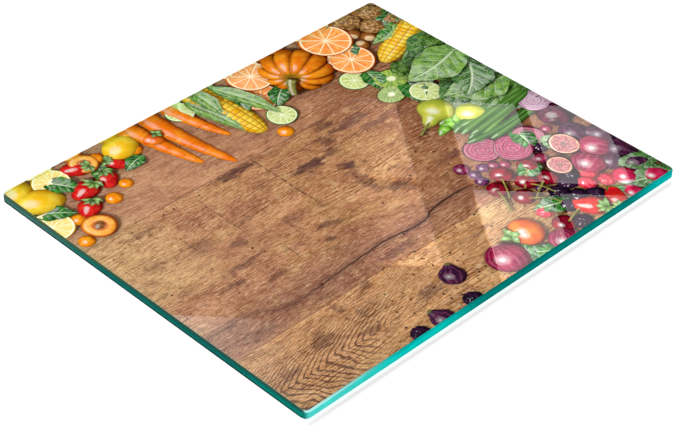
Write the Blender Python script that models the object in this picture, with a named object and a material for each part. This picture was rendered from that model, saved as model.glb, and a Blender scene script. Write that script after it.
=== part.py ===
"""A printed glass cutting board that stands on four soft feet.

A pane of toughened glass carries a printed film on its underside. A white film backs the
print and keeps water off it. Four self-adhesive bumper feet lift the board off the worktop.

Lengths are in metres and +Z is up. The origin is on the worktop, under the middle of the
board. +X runs along the long side.
"""

import math

import bmesh
import bpy
from mathutils import Vector

# The pane
BOARD_LENGTH = 0.300
BOARD_WIDTH = 0.250
GLASS_THICKNESS = 0.006
CORNER_RADIUS = 0.004
ARRIS_WIDTH = 0.0009
CORNER_STEPS = 10

# The two films under it
PRINTED_FILM_THICKNESS = 0.00025
BACKING_FILM_THICKNESS = 0.00025
PRINT_SETBACK = 0.0003
BACKING_SETBACK = 0.0008
LEAST_CORNER_RADIUS = 0.0003

# The feet
FOOT_RADIUS = 0.006
FOOT_HEIGHT = 0.0025
FOOT_TAPER_DEG = 12
SOLE_FILLET_RADIUS = 0.0008
SOLE_DISH_RADIUS = 0.0022
SOLE_DISH_DEPTH = 0.0003
FOOT_EDGE_DISTANCE = 0.022
FOOT_STEPS = 36
DISH_STEPS = 3
FILLET_STEPS = 5

# The adhesive that holds each foot
ADHESIVE_THICKNESS = 0.0002
ADHESIVE_SETBACK = 0.0004

# The gap that is left between two pieces that lie on each other
SEAT_GAP = 0.0003


def clear_scene():
    """Removes the objects that a new file starts with."""
    for old in list(bpy.data.objects):
        bpy.data.objects.remove(old)


def make_material(name, colour, roughness, metallic=0.0, transmission=0.0):
    """A Principled material in one colour."""
    material = bpy.data.materials.new(name)
    material.use_nodes = True
    shader = material.node_tree.nodes["Principled BSDF"]
    shader.inputs["Base Color"].default_value = (*colour, 1.0)
    shader.inputs["Roughness"].default_value = roughness
    shader.inputs["Metallic"].default_value = metallic
    shader.inputs["Transmission Weight"].default_value = transmission
    return material


def add_object(name, bm, material, location):
    """Turns a finished bmesh into a named object."""
    bmesh.ops.recalc_face_normals(bm, faces=bm.faces)
    mesh = bpy.data.meshes.new(name)
    bm.to_mesh(mesh)
    bm.free()
    mesh.materials.append(material)
    obj = bpy.data.objects.new(name, mesh)
    obj.location = location
    bpy.context.scene.collection.objects.link(obj)
    return obj


def rounded_rectangle(length, width, radius):
    """The corner points of a rectangle with round corners, anticlockwise from the +X side."""
    corners = ((1, 1), (-1, 1), (-1, -1), (1, -1))
    points = []
    for quarter, (side_x, side_y) in enumerate(corners):
        centre = Vector((side_x * (length / 2 - radius), side_y * (width / 2 - radius), 0))
        for step in range(CORNER_STEPS + 1):
            angle = math.radians(90 * (quarter + step / CORNER_STEPS))
            points.append(centre + radius * Vector((math.cos(angle), math.sin(angle), 0)))
    return points


def sheet_mesh(length, width, radius, thickness):
    """A flat sheet with round corners, from z = 0 up to its thickness."""
    bm = bmesh.new()
    rim = [bm.verts.new(point) for point in rounded_rectangle(length, width, radius)]
    face = bm.faces.new(rim)
    raised = bmesh.ops.extrude_face_region(bm, geom=[face])["geom"]
    top = [part for part in raised if isinstance(part, bmesh.types.BMVert)]
    bmesh.ops.translate(bm, verts=top, vec=(0, 0, thickness))
    return bm


def build_glass(bottom, material):
    """The pane: a sheet whose upper and lower rims are ground off at 45 degrees."""
    bm = sheet_mesh(BOARD_LENGTH, BOARD_WIDTH, CORNER_RADIUS, GLASS_THICKNESS)
    rims = [
        edge
        for edge in bm.edges
        if abs(edge.verts[0].co.z - edge.verts[1].co.z) < GLASS_THICKNESS / 2
    ]
    bmesh.ops.bevel(
        bm,
        geom=rims,
        offset=ARRIS_WIDTH,
        offset_type="OFFSET",
        segments=1,
        affect="EDGES",
        clamp_overlap=True,
    )
    pane = add_object("glass_pane", bm, material, (0, 0, bottom))
    pane.data.shade_smooth()
    pane.data.set_sharp_from_angle(angle=math.radians(30))
    return pane


def build_film(name, bottom, thickness, setback, material):
    """A film with its edge set back, inside the arris, all the way round."""
    inset = ARRIS_WIDTH + setback
    radius = max(CORNER_RADIUS - inset, LEAST_CORNER_RADIUS)
    bm = sheet_mesh(BOARD_LENGTH - 2 * inset, BOARD_WIDTH - 2 * inset, radius, thickness)
    return add_object(name, bm, material, (0, 0, bottom))


def foot_profile():
    """Half of a foot's section as (radius, height), from the axis in the sole up to the top."""
    taper = math.radians(FOOT_TAPER_DEG)
    sole_radius = FOOT_RADIUS - FOOT_HEIGHT * math.tan(taper)
    points = []
    for step in range(DISH_STEPS + 1):
        share = step / DISH_STEPS
        points.append((share * SOLE_DISH_RADIUS, (1 - share**2) * SOLE_DISH_DEPTH))
    # The fillet touches the flat sole and the sloping side.
    centre_z = SOLE_FILLET_RADIUS
    centre_r = sole_radius - SOLE_FILLET_RADIUS * math.tan(math.radians(45) - taper / 2)
    start = math.radians(-90)
    end = -taper
    for step in range(FILLET_STEPS + 1):
        angle = start + (end - start) * step / FILLET_STEPS
        points.append(
            (
                centre_r + SOLE_FILLET_RADIUS * math.cos(angle),
                centre_z + SOLE_FILLET_RADIUS * math.sin(angle),
            )
        )
    points.append((FOOT_RADIUS, FOOT_HEIGHT))
    points.append((0.0, FOOT_HEIGHT))
    return points


def turned_mesh(profile):
    """A solid turned about Z from a profile that starts and ends on the axis."""
    bm = bmesh.new()
    line = [bm.verts.new((radius, 0, height)) for radius, height in profile]
    edges = [bm.edges.new(pair) for pair in zip(line, line[1:])]
    bmesh.ops.spin(
        bm,
        geom=line + edges,
        cent=(0, 0, 0),
        axis=(0, 0, 1),
        angle=math.tau,
        steps=FOOT_STEPS,
        use_merge=True,
        use_duplicate=False,
    )
    bmesh.ops.remove_doubles(bm, verts=bm.verts, dist=1e-7)
    return bm


def build_foot(name, place, material):
    """A bumper foot: a tapered puck with a soft lower rim and a shallow dish in its sole."""
    foot = add_object(name, turned_mesh(foot_profile()), material, (*place, 0))
    foot.data.shade_smooth()
    foot.data.set_sharp_from_angle(angle=math.radians(40))
    return foot


def build_adhesive(name, place, bottom, material):
    """The round of adhesive between a foot and the backing film."""
    radius = FOOT_RADIUS - ADHESIVE_SETBACK
    profile = [(0, 0), (radius, 0), (radius, ADHESIVE_THICKNESS), (0, ADHESIVE_THICKNESS)]
    return add_object(name, turned_mesh(profile), material, (*place, bottom))


def foot_places():
    """The name and the middle of each foot."""
    x = BOARD_LENGTH / 2 - FOOT_EDGE_DISTANCE
    y = BOARD_WIDTH / 2 - FOOT_EDGE_DISTANCE
    return {
        "front_left": (-x, -y),
        "front_right": (x, -y),
        "rear_left": (-x, y),
        "rear_right": (x, y),
    }


def build_board():
    """Stacks the pieces up from the worktop, with a seat gap between each and the next."""
    glass = make_material("green_edged_glass", (0.62, 0.86, 0.80), 0.02, transmission=1.0)
    print_ink = make_material("printed_film", (0.42, 0.22, 0.11), 0.35)
    white_vinyl = make_material("white_backing_film", (0.86, 0.86, 0.84), 0.5)
    soft_foot = make_material("clear_soft_plastic", (0.80, 0.82, 0.80), 0.3)
    adhesive = make_material("foot_adhesive", (0.88, 0.86, 0.78), 0.6)

    adhesive_bottom = FOOT_HEIGHT + SEAT_GAP
    backing_bottom = adhesive_bottom + ADHESIVE_THICKNESS + SEAT_GAP
    print_bottom = backing_bottom + BACKING_FILM_THICKNESS + SEAT_GAP
    glass_bottom = print_bottom + PRINTED_FILM_THICKNESS + SEAT_GAP

    for corner, place in foot_places().items():
        build_foot("foot_" + corner, place, soft_foot)
        build_adhesive("foot_adhesive_" + corner, place, adhesive_bottom, adhesive)
    build_film(
        "backing_film", backing_bottom, BACKING_FILM_THICKNESS, BACKING_SETBACK, white_vinyl
    )
    build_film("printed_film", print_bottom, PRINTED_FILM_THICKNESS, PRINT_SETBACK, print_ink)
    build_glass(glass_bottom, glass)


clear_scene()
build_board()
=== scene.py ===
# %% [markdown]
# # A printed glass cutting board
# The real thing is a pane of toughened glass with a picture on its underside and four soft feet.
# The pane's edge is ground and looks green, because light runs a long way inside the glass there.
# This lesson dresses a finished set of solids: it keeps their sizes and gives every piece its
# finish. The first cell loads the solids and notes how much room they take.

# %% Load the solids
import math

import bmesh
import bpy
import numpy as np
from mathutils import Euler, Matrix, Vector


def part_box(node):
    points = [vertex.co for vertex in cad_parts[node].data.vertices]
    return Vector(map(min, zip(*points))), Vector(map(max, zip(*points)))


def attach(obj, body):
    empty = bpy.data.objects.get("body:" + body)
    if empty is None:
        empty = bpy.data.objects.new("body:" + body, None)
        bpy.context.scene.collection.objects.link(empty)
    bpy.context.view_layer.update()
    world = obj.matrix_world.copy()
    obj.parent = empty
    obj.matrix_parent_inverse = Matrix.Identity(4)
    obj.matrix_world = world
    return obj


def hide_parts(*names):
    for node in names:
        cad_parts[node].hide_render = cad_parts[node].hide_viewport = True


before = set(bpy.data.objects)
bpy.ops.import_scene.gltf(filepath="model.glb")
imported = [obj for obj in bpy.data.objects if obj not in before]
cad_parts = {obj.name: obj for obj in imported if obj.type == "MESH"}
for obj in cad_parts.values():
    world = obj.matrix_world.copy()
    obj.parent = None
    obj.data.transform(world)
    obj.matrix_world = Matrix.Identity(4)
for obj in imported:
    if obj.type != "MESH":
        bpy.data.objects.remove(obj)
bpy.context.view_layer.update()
MM = 0.001

pane_low, pane_high = (Vector(corner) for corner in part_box("glass_pane"))
film_low, film_high = (Vector(corner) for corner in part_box("printed_film"))
PANE_SIZE = [high - low for low, high in zip(pane_low, pane_high)]
HALF_LENGTH, HALF_WIDTH = PANE_SIZE[0] / 2, PANE_SIZE[1] / 2
TOP_HEIGHT = pane_high.z
print("pane in mm", [round(side / MM, 1) for side in PANE_SIZE])

# %% [markdown]
# ## A short way to write materials
# A material is a network of small nodes. Wiring it by hand takes many lines, so this helper adds a
# node, plugs values or other nodes into it, and hands back its output. What follows then reads
# like arithmetic. Colours are written as on a colour chart and turned into the linear light that
# shaders work in.


# %% Colours and values
def chart(code):
    """A colour chart's six digits as linear red, green and blue."""
    parts = [int(code[place : place + 2], 16) / 255 for place in (0, 2, 4)]
    return tuple(p / 12.92 if p <= 0.04045 else ((p + 0.055) / 1.055) ** 2.4 for p in parts)


def sum_by(operation, swapped=False):
    """A sum between values, written as a Math node."""

    def worked_out(value, *others):
        return value.recipe.math(operation, *((*others, value) if swapped else (value, *others)))

    return worked_out


class Value:
    """An output in a recipe. Sums and products of such values become nodes."""

    def __init__(self, recipe, socket):
        self.recipe = recipe
        self.socket = socket

    __add__ = __radd__ = sum_by("ADD")
    __sub__ = sum_by("SUBTRACT")
    __rsub__ = sum_by("SUBTRACT", swapped=True)
    __mul__ = __rmul__ = sum_by("MULTIPLY")
    __truediv__ = sum_by("DIVIDE")
    __pow__ = sum_by("POWER")
    __abs__ = sum_by("ABSOLUTE")
    sine = sum_by("SINE")
    whole_part = sum_by("FLOOR")
    rest_part = sum_by("FRACT")

    def smooth(self, low, high, to_low=0.0, to_high=1.0):
        """Goes softly from one number to another while the value goes from low to high."""
        given = (self, low, high, to_low, to_high)
        return self.recipe.add("MapRange", given, interpolation_type="SMOOTHSTEP")

    def sister(self, name):
        """Another output of the node that this one comes from."""
        return Value(self.recipe, self.socket.node.outputs[name])


WHITE = "ffffff"
print("white is", chart(WHITE))


# %% Wiring nodes
class Wiring:
    """Adds nodes to one material, or to the owner given, and joins them."""

    def __init__(self, name, owner=None, output="OutputMaterial"):
        self.material = owner or bpy.data.materials.new(name)
        self.material.use_nodes = True
        self.tree = self.material.node_tree
        self.tree.nodes.clear()
        self.output = self.node(output)

    def node(self, kind, **settings):
        made = self.tree.nodes.new("ShaderNode" + kind)
        for setting, value in settings.items():
            setattr(made, setting, value)
        return made

    def plug(self, socket, value):
        """Joins an output to a socket, or writes a number or a colour on it."""
        value = value.socket if isinstance(value, Value) else value
        value = chart(value) if isinstance(value, str) else value
        if isinstance(value, bpy.types.NodeSocket):
            self.tree.links.new(value, socket)
        else:
            socket.default_value = (*value, 1.0) if socket.type == "RGBA" else value

    def add(self, kind, values=(), out=0, **settings):
        """Adds a node with values in its sockets, in turn or by name, and hands back an output."""
        made = self.node(kind, **settings)
        for socket, value in values.items() if isinstance(values, dict) else enumerate(values):
            self.plug(made.inputs[socket], value)
        return Value(self, made.outputs[out])

    def math(self, operation, *values):
        return self.add("Math", values, operation=operation)

    def largest(self, first, *others):
        for other in others:
            first = self.math("MAXIMUM", first, other)
        return first

    def vector(self, operation, *values):
        values = {0: values[0], "Scale": values[1]} if operation == "SCALE" else values
        out = "Value" if operation in ("DOT_PRODUCT", "LENGTH") else "Vector"
        return self.add("VectorMath", values, out, operation=operation)

    def join(self, x, y, z=0.0):
        return self.add("CombineXYZ", (x, y, z))

    def split(self, vector):
        made = self.node("SeparateXYZ")
        self.plug(made.inputs[0], vector)
        return [Value(self, output) for output in made.outputs]


print("wiring can", [name for name in vars(Wiring) if not name.startswith("_")])


# %% A recipe for a material
class Recipe(Wiring):
    """The colours, patterns and shaders that the finishes are made of."""

    def mix(self, share, first, second, blend="MIX"):
        return self.add("Mix", {0: share, 6: first, 7: second}, 2, data_type="RGBA", blend_type=blend)

    def coats(self, colour, *layers):
        """Lays colours over one another, each with the share of the one below that it hides."""
        for share, cover in layers:
            colour = self.mix(share, colour, cover)
        return colour

    def dimmed(self, colour, level):
        return self.mix(1.0, colour, self.join(level, level, level), "MULTIPLY")

    def noise(self, vector, detail=2.0, roughness=0.5, scale=1.0, distortion=0.0, out=0):
        given = {"Vector": vector, "Scale": scale, "Detail": detail, "Roughness": roughness}
        return self.add("TexNoise", {**given, "Distortion": distortion}, out)

    def cells(self, vector, feature="F1", randomness=1.0, flat=False):
        """A pattern of cells: how far each place is from the nearest cell's middle, or its edge."""
        given = {"Vector": vector, "Scale": 1.0, "Randomness": randomness}
        dimensions = "2D" if flat else "3D"
        return self.add("TexVoronoi", given, "Distance", feature=feature, voronoi_dimensions=dimensions)

    def attribute(self, name, out="Vector"):
        return self.add("Attribute", (), out, attribute_name=name)

    def place_mm(self, scale=1.0):
        """Where the surface is on the board, in millimetres."""
        return self.vector("SCALE", self.node("TexCoord").outputs["Object"], scale / MM)

    def principled(self, **values):
        """A Principled shader. Its sockets are named with underscores for spaces."""
        named = {socket.replace("_", " "): value for socket, value in values.items()}
        return self.add("BsdfPrincipled", named)

    def bumped(self, height, strength, depth_mm):
        return self.add("Bump", {"Strength": strength, "Distance": depth_mm * MM, "Height": height})

    def choose(self, share, first, second):
        return self.add("MixShader", (share, first, second))

    def finish(self, shader):
        self.plug(self.output.inputs["Surface"], shader)
        return self.material


print("a recipe can", [name for name in vars(Recipe) if not name.startswith("_")])

# %% [markdown]
# ## The camera
# The view looks down on one corner of the board from a little over a metre away, through a long
# lens. Such a lens keeps opposite edges nearly parallel. The place, the turn and the lens were
# worked out from how long the four edges look beside each other.

# %% Camera
CAMERA_PLACE = Vector((-0.67073, -0.65574, 0.70859))
CAMERA_TURN_DEG = (51.976, -1.134, -44.702)
CAMERA_LENS_MM = 108.02
SENSOR_WIDTH_MM = 36
scene = bpy.context.scene


def placed(name, data):
    """A new object in the scene."""
    made = bpy.data.objects.new(name, data)
    scene.collection.objects.link(made)
    return made


camera_data = bpy.data.cameras.new("camera")
camera_data.lens = CAMERA_LENS_MM
camera_data.sensor_width = SENSOR_WIDTH_MM
camera_data.sensor_fit = "HORIZONTAL"
camera = placed("camera", camera_data)
camera.location = CAMERA_PLACE + Vector((0, 0, TOP_HEIGHT))
camera.rotation_euler = Euler([math.radians(angle) for angle in CAMERA_TURN_DEG])
scene.camera = camera
scene.view_settings.view_transform = "Standard"
print("camera at", [round(part, 3) for part in camera.location])

# %% [markdown]
# ## The floor and the light
# The board lies on a white sweep. Seen by the camera, more than half of the floor's white is its
# own light, and the rest is a lit surface, so the shadow under the board stays pale. A white sky
# gives even light. One wide lamp in front of the long side makes that edge the brighter one, as
# in a studio.

# %% Floor and lamps
FLOOR_REACH = 6.0
FLOOR_GREY = (0.86, 0.86, 0.86)
FLOOR_OWN_WHITE = 1.36
FLOOR_LIT_SHARE = 0.40
# Painted light and shade in the floor's own white: how much lighter it is under the board, and how
# dark the painted shadow line along the board's front is, at its left end and further on. Near the
# front, under the board, a painted cyan glow from the glass edge tints it.
GAP_LIGHT = 0.20
SHADOW_LINE_DEPTH = (0.20, 0.29)
EDGE_GLOW_TINT = (0.80, 1.0, 1.0)
SKY_STRENGTH = 0.55
RAY_KINDS = ("camera", "diffuse", "glossy", "transmission", "volume_scatter", "shadow")
# Each lamp: its name, its place, its two sides in metres and its power in watts.
LAMPS = (
    ("overhead", (-0.65, 0.75, 1.4), (1.0, 1.0), 19),
    ("front", (0.35, -1.2, 0.30), (1.0, 0.3), 7),
)


def sheet(name, points, faces, *materials):
    """A new object made of points and faces."""
    mesh = bpy.data.meshes.new(name)
    mesh.from_pydata(points, [], faces)
    for material in materials:
        mesh.materials.append(material)
    return placed(name, mesh)


def stage_sheet(name, corners, material, visible=()):
    """One face of the stage. With names given, only those kinds of rays see it."""
    obj = sheet(name, [tuple(corner) for corner in corners], [tuple(range(len(corners)))], material)
    for kind in RAY_KINDS if visible else ():
        setattr(obj, "visible_" + kind, kind in visible)
    return obj


def seen_directly(recipe):
    """1 for rays from the camera, and for those that glass or gloss sends on."""
    path = recipe.node("LightPath").outputs
    return recipe.largest(path["Is Camera Ray"], path["Is Glossy Ray"], path["Is Transmission Ray"])


def white_sweep():
    """A white floor, with painted light in the gap under the board, tinted cyan near its front, and a faint
    painted shadow line along its front.
    """
    recipe = Recipe("white_sweep")
    lit = recipe.principled(Base_Color=FLOOR_GREY, Roughness=1.0, Specular_IOR_Level=0.0)
    x, y, _ = recipe.split(recipe.place_mm())
    past = recipe.largest(abs(x) - HALF_LENGTH / MM, abs(y) - HALF_WIDTH / MM)
    front = y * -1.0 - HALF_WIDTH / MM
    # Painted light: the floor's own white is lighter under the board.
    below = past.smooth(-1.8, -3.0)
    # Painted shadow: the floor's own white is darker in a thin line along the board's front, less so at its
    # left end.
    line = front.smooth(-2.6, -1.3) * front.smooth(1.1, -0.2)
    line = line * x.smooth(-151, -147) * x.smooth(151, 147) * x.smooth(-150, -110, *SHADOW_LINE_DEPTH)
    # Painted light: a cyan glow from the glass edge, under the board near its front.
    glow_tint = recipe.mix(below * front.smooth(-7, -5), WHITE, EDGE_GLOW_TINT)
    own = recipe.add("Emission", (glow_tint, below * GAP_LIGHT - line + FLOOR_OWN_WHITE))
    shown = recipe.choose(FLOOR_LIT_SHARE, own, lit)
    return recipe.finish(recipe.choose(seen_directly(recipe), lit, shown))


def area_lamp(name, place, sides, watts):
    """A rectangular lamp that faces the middle of the board."""
    data = bpy.data.lights.new(name, "AREA")
    data.shape = "RECTANGLE"
    data.size, data.size_y = sides
    data.energy = watts
    lamp = placed(name, data)
    lamp.location = place
    lamp.rotation_euler = (-Vector(place)).to_track_quat("-Z", "Y").to_euler()
    lamp.visible_camera = False
    lamp.visible_glossy = False
    return lamp


corners = [(x * FLOOR_REACH, y * FLOOR_REACH, 0) for x, y in ((-1, -1), (1, -1), (1, 1), (-1, 1))]
stage_sheet("floor", corners, white_sweep())
scene.world = bpy.data.worlds.new("sky")
sky = Recipe("sky", scene.world, "OutputWorld")
sky.finish(sky.add("Background", (WHITE, seen_directly(sky).smooth(0, 1, SKY_STRENGTH, 1))))
for lamp in LAMPS:
    print("lamp", area_lamp(*lamp).name)

# %% [markdown]
# ## The window in the glass
# The polished top mirrors what is beyond the board: a dark wall with bright windows. They are
# not painted on. Each pane of a window is a glowing sheet, set where a ray from the camera goes
# after it meets the glass. Its corners are first written as the points on the board where they
# show, in millimetres from the middle, and then sent on by the law of mirrors. The windows also
# light the picture, so a wide lamp just above the board shines only where their panes lie.

# %% Windows beyond the board
WINDOW_DISTANCE = 1.6
WINDOW_CENTRE_MM = (20.0, -20.0)
WALL_REACH_MM = 400
BEFORE_WALL = 0.02
# Each pane: how brightly it glows on its left and right side, the light it casts there, and its
# corners in turn, from the one furthest back.
PANES = (
    (1.7, 1.7, 0.60, 0.60, ((100.6, 13.8), (130.0, -16.9), (83.8, -81.3), (53.8, -49.4))),
    (1.8, 1.8, 0.60, 0.60, ((134.4, -21.9), (165.1, -54.0), (118.1, -118.8), (87.5, -85.0))),
    (2.0, 2.0, 0.60, 0.60, ((48.1, -57.5), (78.1, -89.4), (31.9, -153.8), (1.3, -121.3))),
    (1.6, 1.6, 0.60, 0.60, ((81.9, -94.4), (112.5, -126.3), (66.3, -190.6), (35.6, -158.8))),
    (0.0, 0.7, 0.00, 0.50, ((50.0, 68.1), (80.6, 36.9), (32.9, -28.1), (5.0, 2.5))),
    (0.1, 0.6, 0.08, 0.40, ((0.0, -3.1), (28.1, -34.0), (-11.9, -91.0), (-42.5, -60.0))),
    (3.2, 0.0, 0.00, 0.00, ((-160.0, -10.0), (-105.0, -70.0), (-151.0, -134.0), (-206.0, -74.0))),
)


def mirrored(place_mm):
    """Where the ray from the camera goes on from a point on the glass, and which way."""
    point = Vector((place_mm[0] * MM, place_mm[1] * MM, TOP_HEIGHT))
    way = (point - camera.location).normalized()
    way.z = -way.z
    return point, way


window_root, ahead = mirrored(WINDOW_CENTRE_MM)
wall_middle = window_root + WINDOW_DISTANCE * ahead


def on_wall(place_mm, nearer=0.0):
    """The point of the wall that the glass shows at a place on the board."""
    point, way = mirrored(place_mm)
    reach = (wall_middle - nearer * ahead - point).dot(ahead) / way.dot(ahead)
    return point + reach * way


window_light = Recipe("window_light")
glow = window_light.attribute("level", "Fac")
window_light.finish(window_light.add("Emission", (WHITE, glow)))


def pane_sheet(name, corners, nearer, levels):
    """A flat sheet on the wall, with a level of light at each corner."""
    places = [on_wall(corner, nearer) for corner in corners]
    shown = stage_sheet(name, places, window_light.material, ("glossy",))
    shown.data.attributes.new("level", "FLOAT", "POINT").data.foreach_set("value", levels)


wall = [(x * WALL_REACH_MM, y * WALL_REACH_MM) for x, y in ((-1, 1), (1, 1), (1, -1), (-1, -1))]
pane_sheet("dark_wall", wall, 0.0, (0.0,) * 4)
for number, (left, right, _, _, corners) in enumerate(PANES):
    pane_sheet(f"window_{number}", corners, BEFORE_WALL, (left, right, right, left))
print("windows", len(PANES), "panes")

# %% The windows' light on the board
BEAM_HEIGHT = 0.05
BEAM_SIZE_MM = (298.0, 248.0)
BEAM_WATTS = 0.232
BEAM_SOFT_MM = 0.25
BEAM_SPREAD_DEG = 1.0


def window_beams(recipe):
    """Light that falls only inside the panes, brighter or dimmer from their left to their right."""
    u, v, _ = recipe.split(recipe.node("NewGeometry").outputs["Parametric"])
    x, y = (u - 0.5) * BEAM_SIZE_MM[0], (v - 0.5) * BEAM_SIZE_MM[1]
    total = 0.0
    for _, _, left, right, corners in PANES:
        (x0, y0), (x1, y1) = corners[:2]
        square = math.hypot(x1 - x0, y1 - y0) ** 2
        across = (x - x0) * ((x1 - x0) / square) + (y - y0) * ((y1 - y0) / square)
        light = across.smooth(0, 1, left, right)
        for (x0, y0), (x1, y1) in zip(corners, corners[1:] + corners[:1]):
            side = math.hypot(x1 - x0, y1 - y0)
            inside = ((x - x0) * ((y0 - y1) / side) + (y - y0) * ((x1 - x0) / side)) * -1.0
            light = inside.smooth(-BEAM_SOFT_MM, BEAM_SOFT_MM) * light
        total = light + total
    recipe.finish(recipe.add("Emission", (WHITE, total)))


beam = area_lamp("window_beams", (0, 0, BEAM_HEIGHT), [side * MM for side in BEAM_SIZE_MM], BEAM_WATTS)
beam.rotation_euler = (0, 0, 0)
beam.data.spread = math.radians(BEAM_SPREAD_DEG)
window_beams(Recipe("beams", beam.data, "OutputLight"))
print("their light falls from", BEAM_HEIGHT, "m above the table")

# %% [markdown]
# ## The pane
# A sheet of glass is cut with round corners, and its rims are ground off at 45 degrees so that
# they don't cut the hand. A section through that edge is a short line of points. Each point
# becomes a ring round the board, and the rings are joined up. Tiny roundings where the ground
# faces meet catch the light as the real ones do.

# %% Sections and rings
CORNER_RADIUS = 4.0 * MM
LEAST_RADIUS = 0.3 * MM
ARRIS = 0.9 * MM
EDGE_ROUNDING = 0.12 * MM
ROUNDING_STEPS = 3
CORNER_STEPS = 14


def ring_points(inset):
    """Points round the board's outline, moved in by the inset, anticlockwise."""
    radius = max(CORNER_RADIUS - inset, LEAST_RADIUS)
    half_x, half_y = HALF_LENGTH - inset - radius, HALF_WIDTH - inset - radius
    points = []
    for quarter, (side_x, side_y) in enumerate(((1, 1), (-1, 1), (-1, -1), (1, -1))):
        for step in range(CORNER_STEPS + 1):
            angle = math.radians(90 * (quarter + step / CORNER_STEPS))
            x = side_x * half_x + radius * math.cos(angle)
            points.append((x, side_y * half_y + radius * math.sin(angle)))
    return points


def rounded_line(points, radius):
    """A line through the points whose inner corners are rounded off."""
    line = [points[0]]
    for before, corner, after in zip(points, points[1:], points[2:]):
        corner = Vector(corner)
        back = (Vector(before) - corner).normalized()
        on = (Vector(after) - corner).normalized()
        reach = radius / math.tan(back.angle(on) / 2)
        start, end = corner + back * reach, corner + on * reach
        for step in range(ROUNDING_STEPS + 1):
            share = step / ROUNDING_STEPS
            line.append(tuple((1 - share) ** 2 * start + 2 * share * (1 - share) * corner + share**2 * end))
    return [*line, points[-1]]


print("ring", len(ring_points(0.0)), "points")

# %% [markdown]
# ## What glass does to light
# Clear glass bends what is behind it and mirrors a little at its face. Light from the lamps has
# to reach the print, and tracing it through bent glass is slow and noisy, so rays that carry
# light pass straight through. The print is bonded to the underside, so nothing shines there.

# %% Clear glass
GLASS_IOR = 1.5
GLASS_TINT = (0.985, 1.0, 0.995)


def lets_light_by(recipe, shader, tint=WHITE):
    """The same shader, but open to rays that only carry light."""
    path = recipe.node("LightPath").outputs
    carrying = recipe.largest(path["Is Shadow Ray"], path["Is Diffuse Ray"])
    return recipe.choose(carrying, shader, recipe.add("BsdfTransparent", (tint,)))


def clear_glass():
    recipe = Recipe("clear_glass")
    glass = {"Base_Color": GLASS_TINT, "Roughness": 0.0, "IOR": GLASS_IOR, "Transmission_Weight": 1.0}
    return recipe.finish(lets_light_by(recipe, recipe.principled(**glass)))


def bonded_underside():
    recipe = Recipe("bonded_underside")
    return recipe.finish(recipe.add("BsdfTransparent"))


clear_finishes = (clear_glass(), bonded_underside())
print("clear finishes", [material.name for material in clear_finishes])

# %% [markdown]
# ## The ground edge
# Light that enters the pane is mirrored along inside it and comes out at the edge, greener for all
# the glass on its way. Following it there takes very many bounces. So that light is painted into the
# ground faces' green: brighter along the front and at the near corner, darker along the left side
# and low down, and in faint bands and patches. They also have fine scratches from the grinding
# wheel. Seen from inside the glass they are mirrors.

# %% The edge's greens
# Painted light and shade in the glass's green: along the front from the near corner, brightest there;
# along the left side, darker; and on the left side's rim, darker still.
FRONT_LIT_GREENS = ("4cd2ca", "02bfb6", "007670", "00a8a4")
SIDE_SHADED_GREENS = ("0c8579", "147169", "467870")
SHADED_RIM_GREENS = ("2c4c40", "4e5a32")
ARRIS_PAINTED_HIGHLIGHT = (0.66, 0.97, 0.93)
SIDE_LIMITS_MM = (-147.5, -149.6)


def edge_colour(recipe, bottom_mm, level=1.0):
    """Green with painted light, brightest at the near corner and along the front, and painted shade along
    the left.
    """
    x, y, z = recipe.split(recipe.place_mm())
    near, fore, deep, end = FRONT_LIT_GREENS
    front = recipe.coats(
        near, (x.smooth(-148, -75), fore), (x.smooth(-62, -8), deep), (x.smooth(106, 136), end)
    )
    corner, middle, far = SIDE_SHADED_GREENS
    side = recipe.coats(corner, (y.smooth(-100, -60), middle), (y.smooth(35, 95), far))
    on_side = x.smooth(*SIDE_LIMITS_MM)
    colour = recipe.mix(on_side, front, side)
    along_side = on_side * y.smooth(-124, -118)
    # Painted light in faint bands and patches along the edge, and painted shade on the lowest part and,
    # along the left side, at the top.
    bands = recipe.noise(recipe.join(x * 0.03, y * 0.03, z * 0.8), 3.0)
    patches = recipe.noise(recipe.join(x * 0.11, y * 0.11, z * 0.5), 2.0)
    shade = bands.smooth(0.42, 0.75, level, level * 0.88) * patches.smooth(0.3, 0.7, 0.92, 1.08)
    shade = shade * (1.0 - z.smooth(bottom_mm + 1.5, bottom_mm + 0.7) * (along_side * 0.72 + 0.10))
    return recipe.dimmed(colour, shade * (1.0 - z.smooth(7.4, 9.6) * along_side * 0.30))


def band_colour(recipe):
    return edge_colour(recipe, (pane_low.z + ARRIS) / MM)


def arris_colour(recipe):
    """The ground rim, with a painted highlight, pale at the near corner, and painted shade on its left
    side.
    """
    x, y, z = recipe.split(recipe.place_mm())
    # A painted highlight: paler towards the near corner.
    glow = x.smooth(-85, -152, 0.0, 0.8) * x.smooth(-149.4, -148.8) * z.smooth(10.5, 9.7, 0.3, 1.0)
    # Painted shade: the rim along the left side is darker, and more olive further back.
    shaded_rim = recipe.coats(SHADED_RIM_GREENS[0], (y.smooth(-10, 60), SHADED_RIM_GREENS[1]))
    green = edge_colour(recipe, 0.0, 0.78)
    return recipe.coats(green, (x.smooth(-148.6, -149.2, 0.0, 0.75), shaded_rim), (glow, ARRIS_PAINTED_HIGHLIGHT))


print("greens", len(FRONT_LIT_GREENS + SIDE_SHADED_GREENS + SHADED_RIM_GREENS))

# %% Ground faces
INSIDE_MIRROR = (0.95, 1.0, 0.98)
EDGE_LIGHT = (0.6, 0.9, 0.86)


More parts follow.
